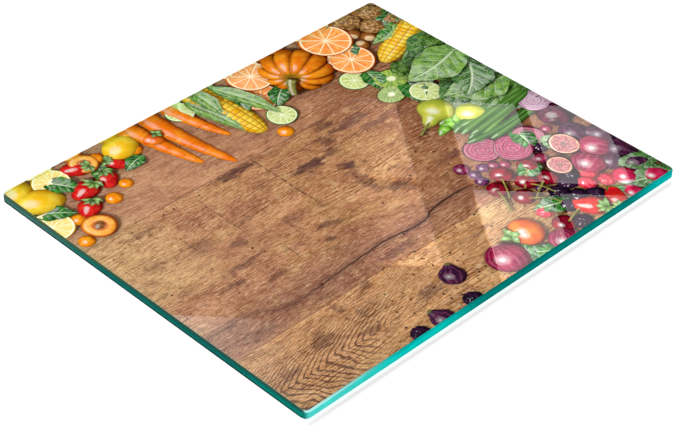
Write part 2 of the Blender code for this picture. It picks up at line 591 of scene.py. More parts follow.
def ground(name, colour_of, roughness, relief):
    """A ground face: fine scratches along the edge outside, a mirror seen from inside."""
    recipe = Recipe(name)
    x, y, z = recipe.split(recipe.place_mm())
    scratch = recipe.noise(recipe.join((x + y) * 0.4, z * 9.0), 2.0)
    shader = recipe.principled(
        Base_Color=colour_of(recipe),
        Roughness=scratch.smooth(0.3, 0.7, roughness - 0.06, roughness + 0.08),
        IOR=GLASS_IOR,
        Specular_IOR_Level=0.0,
        Normal=recipe.bumped(scratch, relief, 0.05),
    )
    inside = recipe.add("BsdfGlossy", {"Color": INSIDE_MIRROR, "Roughness": 0.0})
    shader = recipe.choose(recipe.node("NewGeometry").outputs["Backfacing"], shader, inside)
    return recipe.finish(lets_light_by(recipe, shader, EDGE_LIGHT))


ground_finishes = (
    ground("ground_edge", band_colour, 0.25, 0.3),
    ground("ground_arris", arris_colour, 0.35, 0.5),
)
print("ground finishes", [material.name for material in ground_finishes])


# %% Model the pane
CLEAR, UNDERSIDE, EDGE, RIM = 0, 1, 2, 3
HAIR = 0.01 * MM


def finish_at(inset, height):
    """Which finish a part of the section has, given its middle."""
    if inset > ARRIS:
        return CLEAR if height > (pane_low.z + pane_high.z) / 2 else UNDERSIDE
    return RIM if height > pane_high.z - ARRIS + HAIR else EDGE


def build_pane():
    """The section's points as rings round the board, joined up and closed above and below."""
    low, high = pane_low.z, pane_high.z
    lower_half = [(2 * ARRIS, low), (ARRIS, low), (0.0, low + ARRIS)]
    upper_half = [(0.0, high - ARRIS), (ARRIS, high), (2 * ARRIS, high)]
    section = rounded_line(lower_half + upper_half, EDGE_ROUNDING)
    bm = bmesh.new()
    rings = [[bm.verts.new((x, y, height)) for x, y in ring_points(inset)] for inset, height in section]
    for lower, upper, below, above in zip(rings, rings[1:], section, section[1:]):
        kind = finish_at((below[0] + above[0]) / 2, (below[1] + above[1]) / 2)
        for place, start in enumerate(lower):
            on = (place + 1) % len(lower)
            face = bm.faces.new((start, lower[on], upper[on], upper[place]))
            face.smooth = kind in (EDGE, RIM)
            face.material_index = kind
    bm.faces.new(rings[-1]).material_index = CLEAR
    bm.faces.new(reversed(rings[0])).material_index = UNDERSIDE
    bmesh.ops.recalc_face_normals(bm, faces=bm.faces)
    pane = sheet("toughened_glass", [], [], *clear_finishes, *ground_finishes)
    bm.to_mesh(pane.data)
    bm.free()
    return pane


pane = build_pane()
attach(pane, "root")
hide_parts("glass_pane")
print("pane faces", len(pane.data.polygons))

# %% [markdown]
# ## The printed tabletop
# The picture on the underside is a worn wooden tabletop with fruit and vegetables round two sides.
# The film is a fine grid, so that each of its points can carry how much light the picture has
# there. Real ink touches the glass. So the picture lies a hair inside the pane's lower face, and at
# its rim it turns up along the ground edge. Seen through the glass it then runs to the very edge.

# %% Where the picture lies
FILM_INSET = 1.2 * MM
PICTURE_INSET = 0.06 * MM
PICTURE_HEIGHT = pane_low.z + 0.05 * MM
GRID_STEP = 1.0 * MM
RIM_WIDTH = 1.6 * MM
RIM_LINES = np.array([0.0, 0.4, 0.8, 1.2]) * MM
# The least length that anything is divided by.
LEAST = 1e-9


def inward(x, y):
    """How far inside the board's outline a place is, in metres."""
    over_x = np.maximum(np.abs(x) - (HALF_LENGTH - CORNER_RADIUS), 0)
    over_y = np.maximum(np.abs(y) - (HALF_WIDTH - CORNER_RADIUS), 0)
    return CORNER_RADIUS - np.hypot(over_x, over_y)


def rim_lift(x, y):
    """How far the picture turns up there, to stay just inside the ground edge."""
    return np.clip(ARRIS - inward(x, y) + PICTURE_INSET, 0, ARRIS)


def grid_lines(half):
    """Where the grid's lines cross one side: evenly spaced inside, and closer at the rim."""
    inner = half - RIM_WIDTH
    even = np.linspace(-inner, inner, round(2 * inner / GRID_STEP) + 1)
    return np.concatenate([RIM_LINES - half, even, (half - RIM_LINES)[::-1]])


def film_grid(inset):
    """A grid of points, square inside and drawn into the round corners."""
    half_x, half_y = HALF_LENGTH - inset, HALF_WIDTH - inset
    x, y = np.meshgrid(grid_lines(half_x), grid_lines(half_y))
    radius = CORNER_RADIUS - inset
    from_x = np.sign(x) * np.maximum(np.abs(x) - (half_x - radius), 0)
    from_y = np.sign(y) * np.maximum(np.abs(y) - (half_y - radius), 0)
    reach = np.maximum(np.abs(from_x), np.abs(from_y))
    pull = reach / np.maximum(np.hypot(from_x, from_y), LEAST)
    drawn = np.where((from_x != 0) & (from_y != 0), 1 - pull, 0)
    return x - from_x * drawn, y - from_y * drawn


film_x, film_y = film_grid(PICTURE_INSET)
print("film grid", film_x.shape)

# %% [markdown]
# ## Old oak, drawn by nodes
# A grain that looks alive needs many layers, each at its own scale, and all bent by the same slow
# flow. Broad tones come first, then growth lines, fibres and pores. After them come the marks of
# use: stains, scratches, worm holes and a long crack. The tabletop is three boards wide, and each
# board draws its noise from another place, so that no line crosses a seam.

# %% The boards and the flow of their grain
UPPER_SEAM = 54.0
LOWER_SEAM = -70.0
SEAM_SOFT = 0.2
# Where the upper and the lower board draw their noise from, and how far the grain wanders.
UPPER_NOISE, LOWER_NOISE = 7.3, 13.7
BEND_MM, RIPPLE_MM = 20.0, 2.6


class Tabletop(Recipe):
    """The wood's recipe, with the coordinates that all its layers share."""

    def __init__(self, name):
        super().__init__(name)
        self.x, self.y, _ = self.split(self.place_mm())
        self.upper = self.y.smooth(UPPER_SEAM - SEAM_SOFT, UPPER_SEAM + SEAM_SOFT)
        self.lower = self.y.smooth(LOWER_SEAM + SEAM_SOFT, LOWER_SEAM - SEAM_SOFT)
        self.middle = 1.0 - self.upper - self.lower
        self.board = self.upper * UPPER_NOISE + self.lower * LOWER_NOISE
        self.bent = self.y
        bend = self.stretched(110, 40, 1.0) - 0.5
        ripple = self.stretched(22, 7, 2.0) - 0.5
        self.bent = self.y + bend * BEND_MM + ripple * RIPPLE_MM

    def stretched(self, along, across, detail, roughness=0.55, layer=0.0):
        """Noise that is long along the boards, narrow across them and bent with the grain."""
        place = self.join(self.x / along, self.bent / across, self.board + layer)
        return self.noise(place, detail, roughness)

    def straight(self, along, across, layer, detail, roughness=0.5):
        """Noise that runs straight on, from board to board."""
        return self.noise(self.join(self.x / along, self.y / across, layer), detail, roughness)

    def within(self, place, low, high, soft):
        """1 between two numbers, with soft ends."""
        return place.smooth(low - soft, low + soft) * place.smooth(high + soft, high - soft)


print("three boards, with seams at", LOWER_SEAM, "and", UPPER_SEAM, "mm")

# %% Broad tones
WOOD_DARK = "925a3e"
WOOD_MIDDLE = "ba8158"
WOOD_LIGHT = "dba273"
WOOD_GOLD = "e9b075"
WOOD_PALE = "efcb8e"
WOOD_ROSE = "c8947a"
WOOD_DUSK = "8c5c50"
WOOD_OCHRE = "a37c48"
WOOD_SAND = "c49a5c"


def broad_tones(wood):
    """The boards' own colours with their darker, paler and redder parts, and painted sheen and window
    light.
    """
    x, y, lower = wood.x, wood.y, wood.lower
    tone = wood.stretched(50, 16, 5.0, 0.60)
    sandy = wood.stretched(36, 20, 3.0, 0.6, 2.0).smooth(0.46, 0.66) * wood.middle
    # The middle board is darkest just above the lower seam.
    dusk = wood.within(y, LOWER_SEAM, -42, 14) * wood.middle
    # A painted sheen: paler towards the left end of the middle and upper boards.
    painted_sheen = x.smooth(-86, -128) * wood.within(y, -10, 64, 12)
    right = (x - abs(y - 10.0) * 0.15).smooth(0, 62)
    # Painted window light: a sandier patch in the middle board.
    lit_patch = wood.within(x, 18, 58, 10) * wood.within(y, -16, 32, 10)
    near_seam = y.smooth(-96, -74) * lower
    return wood.coats(
        WOOD_DARK,
        (tone.smooth(0.32, 0.50), WOOD_MIDDLE),
        (tone.smooth(0.48, 0.68), WOOD_LIGHT),
        (x.smooth(20, -140) * 0.45, WOOD_ROSE),
        (wood.upper * 0.25, WOOD_ROSE),
        (lower * 0.62, WOOD_GOLD),
        (sandy * 0.38, WOOD_SAND),
        (dusk * 0.72, WOOD_DUSK),
        (painted_sheen * 0.4, WOOD_PALE),
        (right * 0.78, wood.mix(lower, WOOD_DARK, WOOD_OCHRE)),
        (lit_patch * 0.30, WOOD_SAND),
        # Painted window light: a paler patch in the lower board near its seam.
        (wood.within(x, 34, 60, 7) * near_seam * 0.55, WOOD_PALE),
    )


print("the middle tone in linear light", [round(part, 3) for part in chart(WOOD_MIDDLE)])

# %% Growth lines and arches
FIBRE_DARK = "6a3012"
WOOD_STAIN = "4c2f30"
ARCH_LEFT = -142.0
ARCH_MIDDLE = -103.0
ARCH_STEP = 5.4


def growth_lines(wood, colour):
    """Fine lines along the grain. Their strength comes and goes."""
    wander = wood.stretched(60, 6, 3.0, 0.6, 3.0)
    line = (wood.bent * 3.6 + wander * 15.0).sine().smooth(0.2, 1.0)
    strength = wood.stretched(30, 9, 2.0, 0.5, 5.0).smooth(0.42, 0.62)
    share = 0.5 - wood.upper * 0.25 + wood.lower * 0.35 + wood.x.smooth(-30, 60, 0.0, 0.4)
    return wood.mix(line * strength * share, colour, FIBRE_DARK)


def arches(wood, colour):
    """Nested arches in the lower board, where the saw went through a bump of the trunk."""
    sway = wood.straight(19, 15, 8.0, 1.0) - 0.5
    jag = wood.straight(5, 3.4, 9.0, 2.0) - 0.5
    rise = wood.y - ARCH_MIDDLE + sway * 8.0 + jag * 1.9
    upper_leg = wood.largest(rise, 0.0) ** 1.35 * 0.9
    lower_leg = wood.largest(rise * -1.0, 0.0) ** 1.15 * 0.5
    reach = (wood.x - ARCH_LEFT + sway * 12.0 + jag * 2.1 - upper_leg - lower_leg) / ARCH_STEP
    broad = (reach * math.tau).sine().smooth(0.0, 0.9)
    fine = (reach * (3.0 * math.tau)).sine().smooth(0.2, 1.0) * 0.45
    here = (wood.x - rise * 1.6).smooth(-44, -92) * wood.y.smooth(LOWER_SEAM - 0.5, LOWER_SEAM - 8.0)
    broken = wood.straight(6, 3, 10.0, 4.0, 0.65).smooth(0.28, 0.52, 0.25, 1.0)
    fading = broken * rise.smooth(7, 26, 1.0, 0.55)
    return wood.mix(wood.largest(broad, fine) * here * fading * 0.78, colour, WOOD_STAIN)


print("an arch every", ARCH_STEP, "mm")

# %% Fibres and pores
FIBRE_PALE = "efc8a4"
WOOD_DEEP = "6a3a2b"
PORE_DARK = "4a200c"
# Each layer of grain: its reach along and across in millimetres, its detail, and its two tones,
# each with how much it shows. Fine fibres differ in brightness only, so they have their own tones.
GRAINS = (
    (15, 8, 6.0, WOOD_DEEP, 0.46, WOOD_PALE, 0.38),
    (34, 1.5, 4.0, FIBRE_DARK, 0.34, WOOD_PALE, 0.22),
    (7, 1.1, 3.0, FIBRE_DARK, 0.56, FIBRE_PALE, 0.46),
    (4.2, 0.7, 2.0, FIBRE_DARK, 0.44, FIBRE_PALE, 0.38),
)
FIRST_GRAIN_LAYER = 12.0


def fibres(wood, colour):
    """Mottling, streaks, fibres and specks, then saw marks and pores. The lower board is coarsest."""
    coarse = wood.lower * 0.40 + wood.middle * 0.30 + 0.75
    for layer, (along, across, detail, dark_tone, dark, pale_tone, pale) in enumerate(GRAINS):
        grain = wood.stretched(along, across, detail, 0.68, FIRST_GRAIN_LAYER + layer)
        darker = grain.smooth(0.50, 0.70) * coarse * dark
        paler = grain.smooth(0.47, 0.30) * coarse * pale
        colour = wood.coats(colour, (darker, dark_tone), (paler, pale_tone))
    sawn = wood.straight(0.9, 14, 18.0, 1.0).smooth(0.55, 0.7)
    sawn = sawn * wood.straight(40, 25, 19.0, 2.0).smooth(0.45, 0.6)
    pore = wood.cells(wood.join(wood.x / 3.4, wood.bent / 1.1, wood.board)).smooth(0.30, 0.10)
    return wood.coats(colour, (sawn * 0.30, WOOD_DEEP), (pore * coarse * 0.75, PORE_DARK))


print("layers of grain", len(GRAINS))

# %% Stains
# Each stain: its middle, its reach along and across the grain, and its strength.
STAINS = (
    (-2, 26, 17, 5, 0.95), (15, 11, 6, 4.5, 1.0), (-107, -24, 11, 2.5, 0.6), (-118, 44, 13, 3, 0.45),
    (12, -6, 5, 15, 0.65), (-64, 14, 9, 3, 0.4), (58, 30, 18, 3.5, 0.6), (-33, -20, 6, 3.5, 0.75),
    (66, -24, 14, 3, 0.55), (-20, -64, 18, 4, 0.6), (-122, -63, 16, 4, 0.5), (-37, 51, 18, 4, 0.85),
    (47, 41, 18, 4.5, 0.75), (-132, -96, 9, 4, 0.55), (18, -84, 18, 3, 0.5), (-84, -34, 12, 2.5, 0.5),
    (-103, -89, 9, 6, 0.6), (-78, -101, 8, 4, 0.6), (-31, -101, 14, 5, 0.7), (-96, 12, 12, 6, 0.4),
    (-79, -76, 3, 5, 0.6), (-54, -73, 4, 3, 0.6), (-72, -88, 3, 4, 0.5), (-130, 16, 10, 4, 0.35),
    (32, 49, 7, 6, 0.65), (23, 37, 7, 6, 0.7), (16, 27, 6, 5, 0.6), (24, -23, 10, 4, 0.7),
    (-44, -3, 9, 4, 0.4), (-40, -31, 4, 3, 0.8), (-80, 2, 6, 5, 0.6), (-90, -15, 17, 3.5, 0.6),
)


def stains(wood, colour):
    """Dark patches with ragged rims, streaked by the grain."""
    ragged = wood.straight(7, 3.5, 20.0, 5.0, 0.68) - 0.5
    total = wood.stretched(21, 9, 6.0, 0.68, 21.0).smooth(0.56, 0.68) * (wood.middle * 0.4 + 0.15)
    for x, y, along, across, strength in STAINS:
        away = wood.vector("LENGTH", wood.join((wood.x - x) / along, (wood.y - y) / across))
        total = wood.largest(total, (away + ragged * 3.2).smooth(1.15, 0.45, 0.0, strength))
    streak = wood.stretched(14, 1.4, 3.0, 0.6, 22.0).smooth(0.3, 0.62)
    return wood.mix(total * (streak * 0.45 + 0.60) * 0.95, colour, WOOD_STAIN)


print("stains", len(STAINS))

# %% Scratches
# Each scratch across the grain: where it is along the board, its two ends and its strength.
SCRATCHES = (
    (-22, -6, 54, 0.8), (-71, 5, 45, 0.6), (-101, 12, 30, 0.5), (33, -20, 8, 0.5),
    (-48, -18, -2, 0.6), (-81, -92, -71, 0.6), (-63, -32, -18, 0.6), (-26, -43, -33, 0.6),
    (5, 20, 40, 0.4), (-118, 18, 48, 0.35),
)


def scratches(wood, colour):
    """Thin lines across the grain, left by knives and pans."""
    shift = wood.straight(4, 9, 25.0, 3.0, 0.6) - 0.5
    broken = wood.straight(6, 3, 26.0, 3.0, 0.6).smooth(0.35, 0.6)
    for x, low, high, strength in SCRATCHES:
        line = abs(wood.x - x + shift * 3.0).smooth(0.9, 0.2) * wood.within(wood.y, low, high, 4.0)
        colour = wood.mix(line * broken * strength, colour, WOOD_STAIN)
    return colour


print("scratches", len(SCRATCHES))

# %% Worm holes and seams
BORE_DARK = "281814"
HOLE_STEP = 7.0


def worm_holes(wood, colour):
    """Small round holes of many sizes, mostly in the lower board."""
    away = wood.cells(wood.join(wood.x / HOLE_STEP, wood.y / HOLE_STEP, 31.0), flat=True)
    size, chance, _ = wood.split(away.sister("Color"))
    dot = (away - size * 0.08 - 0.02).smooth(0.05, 0.0)
    many = wood.lower * wood.x.smooth(-90, -60) * chance.smooth(0.60, 0.62)
    some = wood.middle * chance.smooth(0.92, 0.93)
    return wood.mix(dot * wood.largest(many, some) * 0.9, colour, BORE_DARK)


def seams(wood, colour):
    """The joints between the three boards."""
    broken = wood.stretched(16, 3, 3.0, 0.6, 33.0).smooth(0.3, 0.6, 0.35, 1.0)
    for place, width in ((UPPER_SEAM, 0.8), (LOWER_SEAM, 0.7)):
        line = abs(wood.y - place).smooth(width, 0.1)
        colour = wood.mix(line * broken * 0.5, colour, WOOD_STAIN)
    return colour


print("the places for worm holes are", HOLE_STEP, "mm apart")

# %% The crack
# The crack's path in millimetres: along the board, and across it.
CRACK = (
    (-150, -47.6), (-134, -47.4), (-123, -47.1), (-113, -49.3), (-103, -54.5), (-94, -57.0),
    (-78, -56.7), (-61, -55.3), (-34, -53.9), (-21, -53.1), (-5, -55.0), (6, -56.0), (13, -55.0),
    (18, -52.4), (26, -51.0), (42, -50.4), (62, -53.4),
)
# A curve's points run from 0 to 1. Here that stands for this many millimetres below the middle.
CRACK_SPAN = 100.0


def crack(wood, colour):
    """A line whose height along the board is read from a curve."""
    path = wood.node("FloatCurve")
    points = path.mapping.curves[0].points
    low, high = CRACK[0][0], CRACK[-1][0]
    places = [((x - low) / (high - low), (y + CRACK_SPAN) / CRACK_SPAN) for x, y in CRACK]
    for place in places[1:-1]:
        points.new(*place)
    points[0].location = places[0]
    points[len(points) - 1].location = places[-1]
    path.mapping.update()
    wood.plug(path.inputs["Value"], (wood.x - low) / (high - low))
    height = Value(wood, path.outputs[0]) * CRACK_SPAN - CRACK_SPAN
    slow = wood.noise(wood.join(wood.x / 9, 0.0, 35.0), 3.0, 0.6) - 0.5
    quick = wood.noise(wood.join(wood.x / 1.8, 0.0, 36.0), 2.0) - 0.5
    away = abs(wood.y - height + slow * 1.2 + quick * 1.3)
    width = wood.x.smooth(-105, 20, 0.28, 0.78)
    line = (away / width).smooth(1.25, 0.35) * wood.x.smooth(-108, -70, 0.5, 1.0)
    ends = wood.within(wood.x, low + 2.0, high - 10.0, 8.0)
    rim = away.smooth(5.0, 0.5, 0.0, 0.35)
    return wood.coats(colour, (rim * ends, WOOD_STAIN), (line * ends * 0.9, BORE_DARK))


print("the crack runs from", CRACK[0], "to", CRACK[-1])

# %% All layers of the wood
PICTURE_SHADOW = "3a2a30"
WOOD_LAYERS = (growth_lines, fibres, arches, stains, scratches, worm_holes, seams, crack)


def printed_tabletop():
    """All layers over one another, dimmed where the picture's things throw a shadow."""
    wood = Tabletop("printed_tabletop")
    colour = broad_tones(wood)
    for layer in WOOD_LAYERS:
        colour = layer(wood, colour)
    shadow = wood.mix(wood.attribute("picture_light", "Fac"), PICTURE_SHADOW, WHITE)
    colour = wood.mix(1.0, colour, shadow, "MULTIPLY")
    return wood.finish(wood.principled(Base_Color=colour, Roughness=0.6, Specular_IOR_Level=0.0))


tabletop_finish = printed_tabletop()
print("nodes in the wood", len(tabletop_finish.node_tree.nodes))


# %% Model the film
def numbered(rows, columns, start=0):
    """The numbers of a grid's points, row by row."""
    return start + np.arange(rows * columns).reshape(rows, columns)


def quads_of(index):
    """The faces between the points of a numbered grid."""
    corners = [index[:-1, :-1], index[:-1, 1:], index[1:, 1:], index[1:, :-1]]
    return np.stack(corners, -1).reshape(-1, 4)


def build_tabletop():
    """The film: a gridded top that turns up at its rim, and a body set back under it."""
    height = PICTURE_HEIGHT + rim_lift(film_x, film_y)
    top = np.stack([film_x, film_y, height], -1).reshape(-1, 3)
    index = numbered(*film_x.shape)
    faces = quads_of(index).tolist()
    rim = np.concatenate([index[0, :-1], index[:-1, -1], index[-1, :0:-1], index[:0:-1, 0]])
    set_back = FILM_INSET - PICTURE_INSET
    drawn_in = [1 - set_back / (half - PICTURE_INSET) for half in (HALF_LENGTH, HALF_WIDTH)]
    rings, points = [rim], [top]
    for level in (film_high.z, film_low.z):
        ring = top[rim] * (*drawn_in, 0)
        ring[:, 2] = level
        rings.append(np.arange(len(rim)) + sum(len(part) for part in points))
        points.append(ring)
    for upper, lower in zip(rings, rings[1:]):
        faces += np.stack([upper, lower, np.roll(lower, -1), np.roll(upper, -1)], -1).tolist()
    faces.append(rings[-1][::-1].tolist())
    return sheet("printed_tabletop", np.concatenate(points).tolist(), faces, tabletop_finish)


tabletop = build_tabletop()
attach(tabletop, "root")
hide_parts("printed_film")
print("tabletop faces", len(tabletop.data.polygons))

# %% [markdown]
# ## Fruit and vegetables for the picture
# The picture's border is a photograph of food on a table. It could be a flat drawing, but light on
# round things is hard to draw. So each thing is modelled in the round, in millimetres, as a grid of
# points seen from above. Then its light is worked out, and it is pressed flat into a layer of ink
# a fraction of a millimetre thick. Only its colours and its printed light are left, as on paper.
#
# Every shape below is a grid of points with marks. A mark says where on the thing a point is, and
# the finishes later draw skins, seeds and veins by it.

# %% Grids for round things
POINT_STEP_MM = 0.6
dice = np.random.default_rng(11)


def disc_points(radius):
    """A square grid drawn into a round: each point's share of the radius, and its angle."""
    count = max(8, round(2 * radius / POINT_STEP_MM))
    side = np.linspace(-1, 1, count + 1)
    u, v = np.meshgrid(side, side)
    x = u * np.sqrt(1 - v**2 / 2)
    y = v * np.sqrt(1 - u**2 / 2)
    return np.minimum(np.hypot(x, y), 1.0), np.arctan2(y, x)


def leaning(lean, toward):
    """Turns the board's directions into those of a body whose pole leans over, in degrees."""
    lean, toward = math.radians(lean), math.radians(toward)
    pole = (math.sin(lean) * math.cos(toward), math.sin(lean) * math.sin(toward), math.cos(lean))
    first = (math.cos(lean) * math.cos(toward), math.cos(lean) * math.sin(toward), -math.sin(lean))
    second = (-math.sin(toward), math.cos(toward), 0.0)
    return np.array([first, second, pole]).T


def body(radius, form, lean=0, toward=0):
    """The upper half of a round body. form gives its reach in each direction from the middle."""
    share, angle = disc_points(radius)
    fall = share * math.pi / 2
    ball = np.stack([np.sin(fall) * np.cos(angle), np.sin(fall) * np.sin(angle), np.cos(fall)], -1)
    own = ball @ leaning(lean, toward)
    reach = form(own[..., 0], own[..., 1], own[..., 2])
    return ball * (radius * reach)[..., None], own


def tumbled(radius, form, least_lean, most_lean):
    """A body that lies as it fell, with its pole any way round."""
    return body(radius, form, dice.uniform(least_lean, most_lean), dice.uniform(0, 360))


def round_form(squash=0.9, dimple=0.0, dimple_width=0.1, ribs=0, rib_depth=0.0):
    """A ball, squashed along its pole, with a dimple at the pole and ribs from pole to pole."""

    def form(x, y, z):
        reach = 1 / np.sqrt(x**2 + y**2 + (z / squash) ** 2)
        groove = (1 - np.abs(np.sin(ribs / 2 * np.arctan2(y, x)))) ** 2
        reach *= 1 - rib_depth * groove * np.hypot(x, y)
        return reach * (1 - dimple * np.exp(-(1 - z) / dimple_width))

    return form


def pointed_form(length, neck=0.0, nipple=0.0):
    """A ball drawn out along its pole, with a narrower neck at the pole or a point at both ends."""

    def form(x, y, z):
        reach = 1 / np.sqrt(x**2 + y**2 + (z / length) ** 2)
        reach *= 1 - neck * (0.5 + 0.5 * z) ** 3 * np.hypot(x, y)
        return reach + nipple * np.exp(-(1 - np.abs(z)) / 0.03)

    return form


def berry_form(count, spread_deg, depth):
    """A ball covered with small round beads, laid along a spiral from pole to pole."""
    number = np.arange(count) + 0.5
    height = 1 - 2 * number / count
    turn = number * math.pi * (3 - math.sqrt(5))
    around = np.sqrt(1 - height**2)
    beads = np.stack([around * np.cos(turn), around * np.sin(turn), height], -1)

    def form(x, y, z):
        nearest = np.max(np.stack([x, y, z], -1) @ beads.T, -1)
        away = np.degrees(np.arccos(np.clip(nearest, -1, 1))) / spread_deg
        return 1 - depth + depth * np.sqrt(np.clip(1 - away**2, 0, 1))

    return form


print("points across a cherry", disc_points(7.5)[0].shape[0])


# %% Grids for slices and cut halves
def seeded(first, second):
    """The two marks of a flat thing, with a chance number as the third."""
    return np.stack([first, second, np.full_like(first, dice.uniform(0, 50))], -1)


def cut_face(radius, thickness=4.0, rim=0.08, oval=1.0, tilt=0.0, wobble=0.02):
    """A flat slice or a cut half with a soft rim."""
    share, angle = disc_points(radius)
    reach = 1.0
    for waves in (2, 3):
        reach = reach + wobble * np.cos(waves * angle + dice.uniform(0, 6))
    over = np.clip((share - 1 + rim) / rim, 0, 1)
    x = radius * share * reach * np.cos(angle)
    y = radius * share * reach * np.sin(angle) * oval
    z = (thickness + tilt * x) * np.sqrt(1 - over**2)
    return np.stack([x, y, z], -1), seeded(share * np.cos(angle), share * np.sin(angle))


print("points across an orange slice", disc_points(16)[0].shape[0])


# %% Grids for long things
def bent_line(bends, count):
    """Points along a smooth curve from the first place to the last, drawn towards those between.

    The second array gives the direction across the curve at each point.
    """
    share = np.linspace(0, 1, count)[:, None]
    layer = [np.array(bend, dtype=float)[None, :] * np.ones_like(share) for bend in bends]
    while len(layer) > 1:
        layer = [(1 - share) * a + share * b for a, b in zip(layer, layer[1:])]
    way = np.gradient(layer[0], axis=0)
    way /= np.linalg.norm(way, axis=1, keepdims=True)
    return layer[0], np.stack([-way[:, 1], way[:, 0]], -1)


def bowed(start, end, bow):
    """Two places with a third between them, moved aside to make a bow."""
    return start, ((start[0] + end[0]) / 2 + bow[0], (start[1] + end[1]) / 2 + bow[1]), end


def tube(bends, half_width, flat=0.9):
    """A long round body along a bent line. half_width gives its size at each share of its length."""
    length = sum(math.dist(a, b) for a, b in zip(bends, bends[1:]))
    rows = max(6, round(length / POINT_STEP_MM))
    share = np.linspace(0, 1, rows + 1)
    half = half_width(share) * np.ones_like(share)
    columns = max(4, round(2 * half.max() / POINT_STEP_MM))
    across = np.linspace(-1, 1, columns + 1)
    centre, side = bent_line(bends, rows + 1)
    out = half[:, None] * np.sin(across * math.pi / 2)[None, :]
    plan = centre[:, None, :] + side[:, None, :] * out[..., None]
    height = flat * half[:, None] * np.cos(across * math.pi / 2)[None, :]
    share, across = np.meshgrid(share, across, indexing="ij")
    return np.concatenate([plan, height[..., None]], -1), np.stack([share, across, share * length], -1)


stem = tube(bowed((0, 0), (19, 0), (3, 2)), lambda share: 0.55)
print("a stem has", stem[0].shape[:2], "points")

# %% A grid for leaves
LEAF_STEP_MM = 0.8
LEAF_TIP = 0.75
LEAF_ARCH_MM = 3.0


def leaf(length, width, bend=0.12, ruffle=0.7, veins=6):
    """A leaf with a middle rib, raised between its side veins and wavy at its rim."""
    rows, columns = (max(8, round(side / LEAF_STEP_MM)) for side in (length, width))
    lines = np.linspace(0, 1, rows + 1), np.linspace(-1, 1, columns + 1)
    along, across = np.meshgrid(*lines, indexing="ij")
    phase = dice.uniform(0, 6)
    half = width / 2 * np.sin(math.pi * along**LEAF_TIP) ** 0.8
    half = half * (1 + 0.05 * np.sin(17 * along + phase + across))
    x = length * (along - 0.04 * across**2)
    y = half * across + bend * length * np.sin(math.pi * along * 0.9)
    rib = np.exp(-((across * half / 0.8) ** 2))
    between = np.sin(math.pi * (veins * along - 1.5 * np.abs(across))) ** 2
    z = 1.5 + 0.10 * half * np.abs(across) ** 1.5 + 0.5 * between * np.sqrt(np.abs(across))
    z = z + ruffle * np.sin(19 * along + phase + 2 * across) * np.abs(across) ** 2 - 0.5 * rib
    return np.stack([x, y, z + LEAF_ARCH_MM * np.sin(math.pi * along)], -1), seeded(along, across)


print("steps along a leaf of 40 mm", round(40 / LEAF_STEP_MM))

# %% Laying things on the tabletop
things = {}


def put(kind, shape, at=(0, 0), turn=0.0, lift=0.0, tint=0.0):
    """Lays a shape on the tabletop, turned in degrees and lifted in millimetres."""
    points, mark = shape
    turn = math.radians(turn)
    x = points[..., 0] * math.cos(turn) - points[..., 1] * math.sin(turn) + at[0]
    y = points[..., 0] * math.sin(turn) + points[..., 1] * math.cos(turn) + at[1]
    z = np.maximum(points[..., 2], 0.0) + lift
    things.setdefault(kind, []).append((np.stack([x, y, z], -1), mark, tint))


def away_from(place, distance, toward):
    """The point that lies some way off in a direction, in degrees."""
    turn = math.radians(toward)
    return place[0] + distance * math.cos(turn), place[1] + distance * math.sin(turn)


def put_slice(kind, place, radius, tint=0.0, thickness=4.0, **shape):
    """Lays down a slice or a cut half, turned any way round."""
    put(kind, cut_face(radius, thickness, **shape), place, dice.uniform(0, 360), 1.0, tint)


def things_so_far():
    """How many things lie on the tabletop."""
    return sum(len(kind) for kind in things.values())


print("one step to the upper right ends at", away_from((0, 0), 1, 45))

# %% [markdown]
# ## The layout
# Warm yellows and oranges stand at the back left, greens in the far corner, and reds and purples
# along the right and the front, so that the colours run round the table as on a colour wheel. The
# middle and the front left stay bare, as room to cut on. In each list, a thing's first numbers are
# its middle and its radius in millimetres.

# %% Citrus slices, cut halves and their like
LEMON, ORANGE, LIME = 0.0, 0.5, 1.0
RED_ONION, BEET = 0.0, 1.0
STONE = 1.0
# Each slice: its middle, its radius, its kind and its thickness.
CITRUS = (
    (-147, 83, 14, LEMON, 3.0), (-121, 116, 12, LEMON, 3.0), (25, 97, 14, ORANGE, 3.0),
    (36, 117, 16, ORANGE, 5.0), (95, 88, 16, ORANGE, 6.0), (98, 114, 18, ORANGE, 8.0),
    (22, 74, 10, LIME, 3.0), (80, 70, 10, LIME, 3.0), (-21, 118, 10, LIME, 3.0),
    (104, 32, 11, LIME, 5.0),
)
KIWIS = ((98, 56, 12), (86, 44, 10), (112, 20, 10))
RINGED = (
    (145, -20, 11, RED_ONION, 9.0), (84, -33, 12, BEET, 3.0), (99, -44, 13, BEET, 4.0),
    (114, -43, 11, BEET, 3.0),
)
FIG_HALVES = ((124, -62, 11), (106, -74, 9))
APRICOT_HALVES = ((-126, 66, 11), (-96, 117, 10))
for x, y, radius, kind, thickness in CITRUS:
    put_slice("citrus", (x, y), radius, kind, thickness, tilt=0.05, wobble=0.012)
for x, y, radius in KIWIS:
    put_slice("kiwi", (x, y), radius, oval=0.88, tilt=0.05)
for x, y, radius, kind, thickness in RINGED:
    put_slice("ringed", (x, y), radius, kind, thickness, tilt=-0.04)
for x, y, radius in FIG_HALVES:
    put_slice("fig", (x, y), radius, thickness=7.0, rim=0.2, oval=0.93, tilt=0.06)
for x, y, radius in APRICOT_HALVES:
    put_slice("apricot", (x, y), radius, thickness=6.0, rim=0.3, oval=0.92)
    put("apricot", body(0.42 * radius, pointed_form(1.3), 80, 40), (x, y), 0, 3.5, STONE)
print("slices", things_so_far())

# %% Strawberries
# How far they lean over, and how the five leaves of a collar spread, in degrees.
STRAWBERRY_LEAN = 82
COLLAR_SPREADS = (-82.5, -44.0, 0.0, 41.8, 79.2)
SMALL_GREEN = 0.35
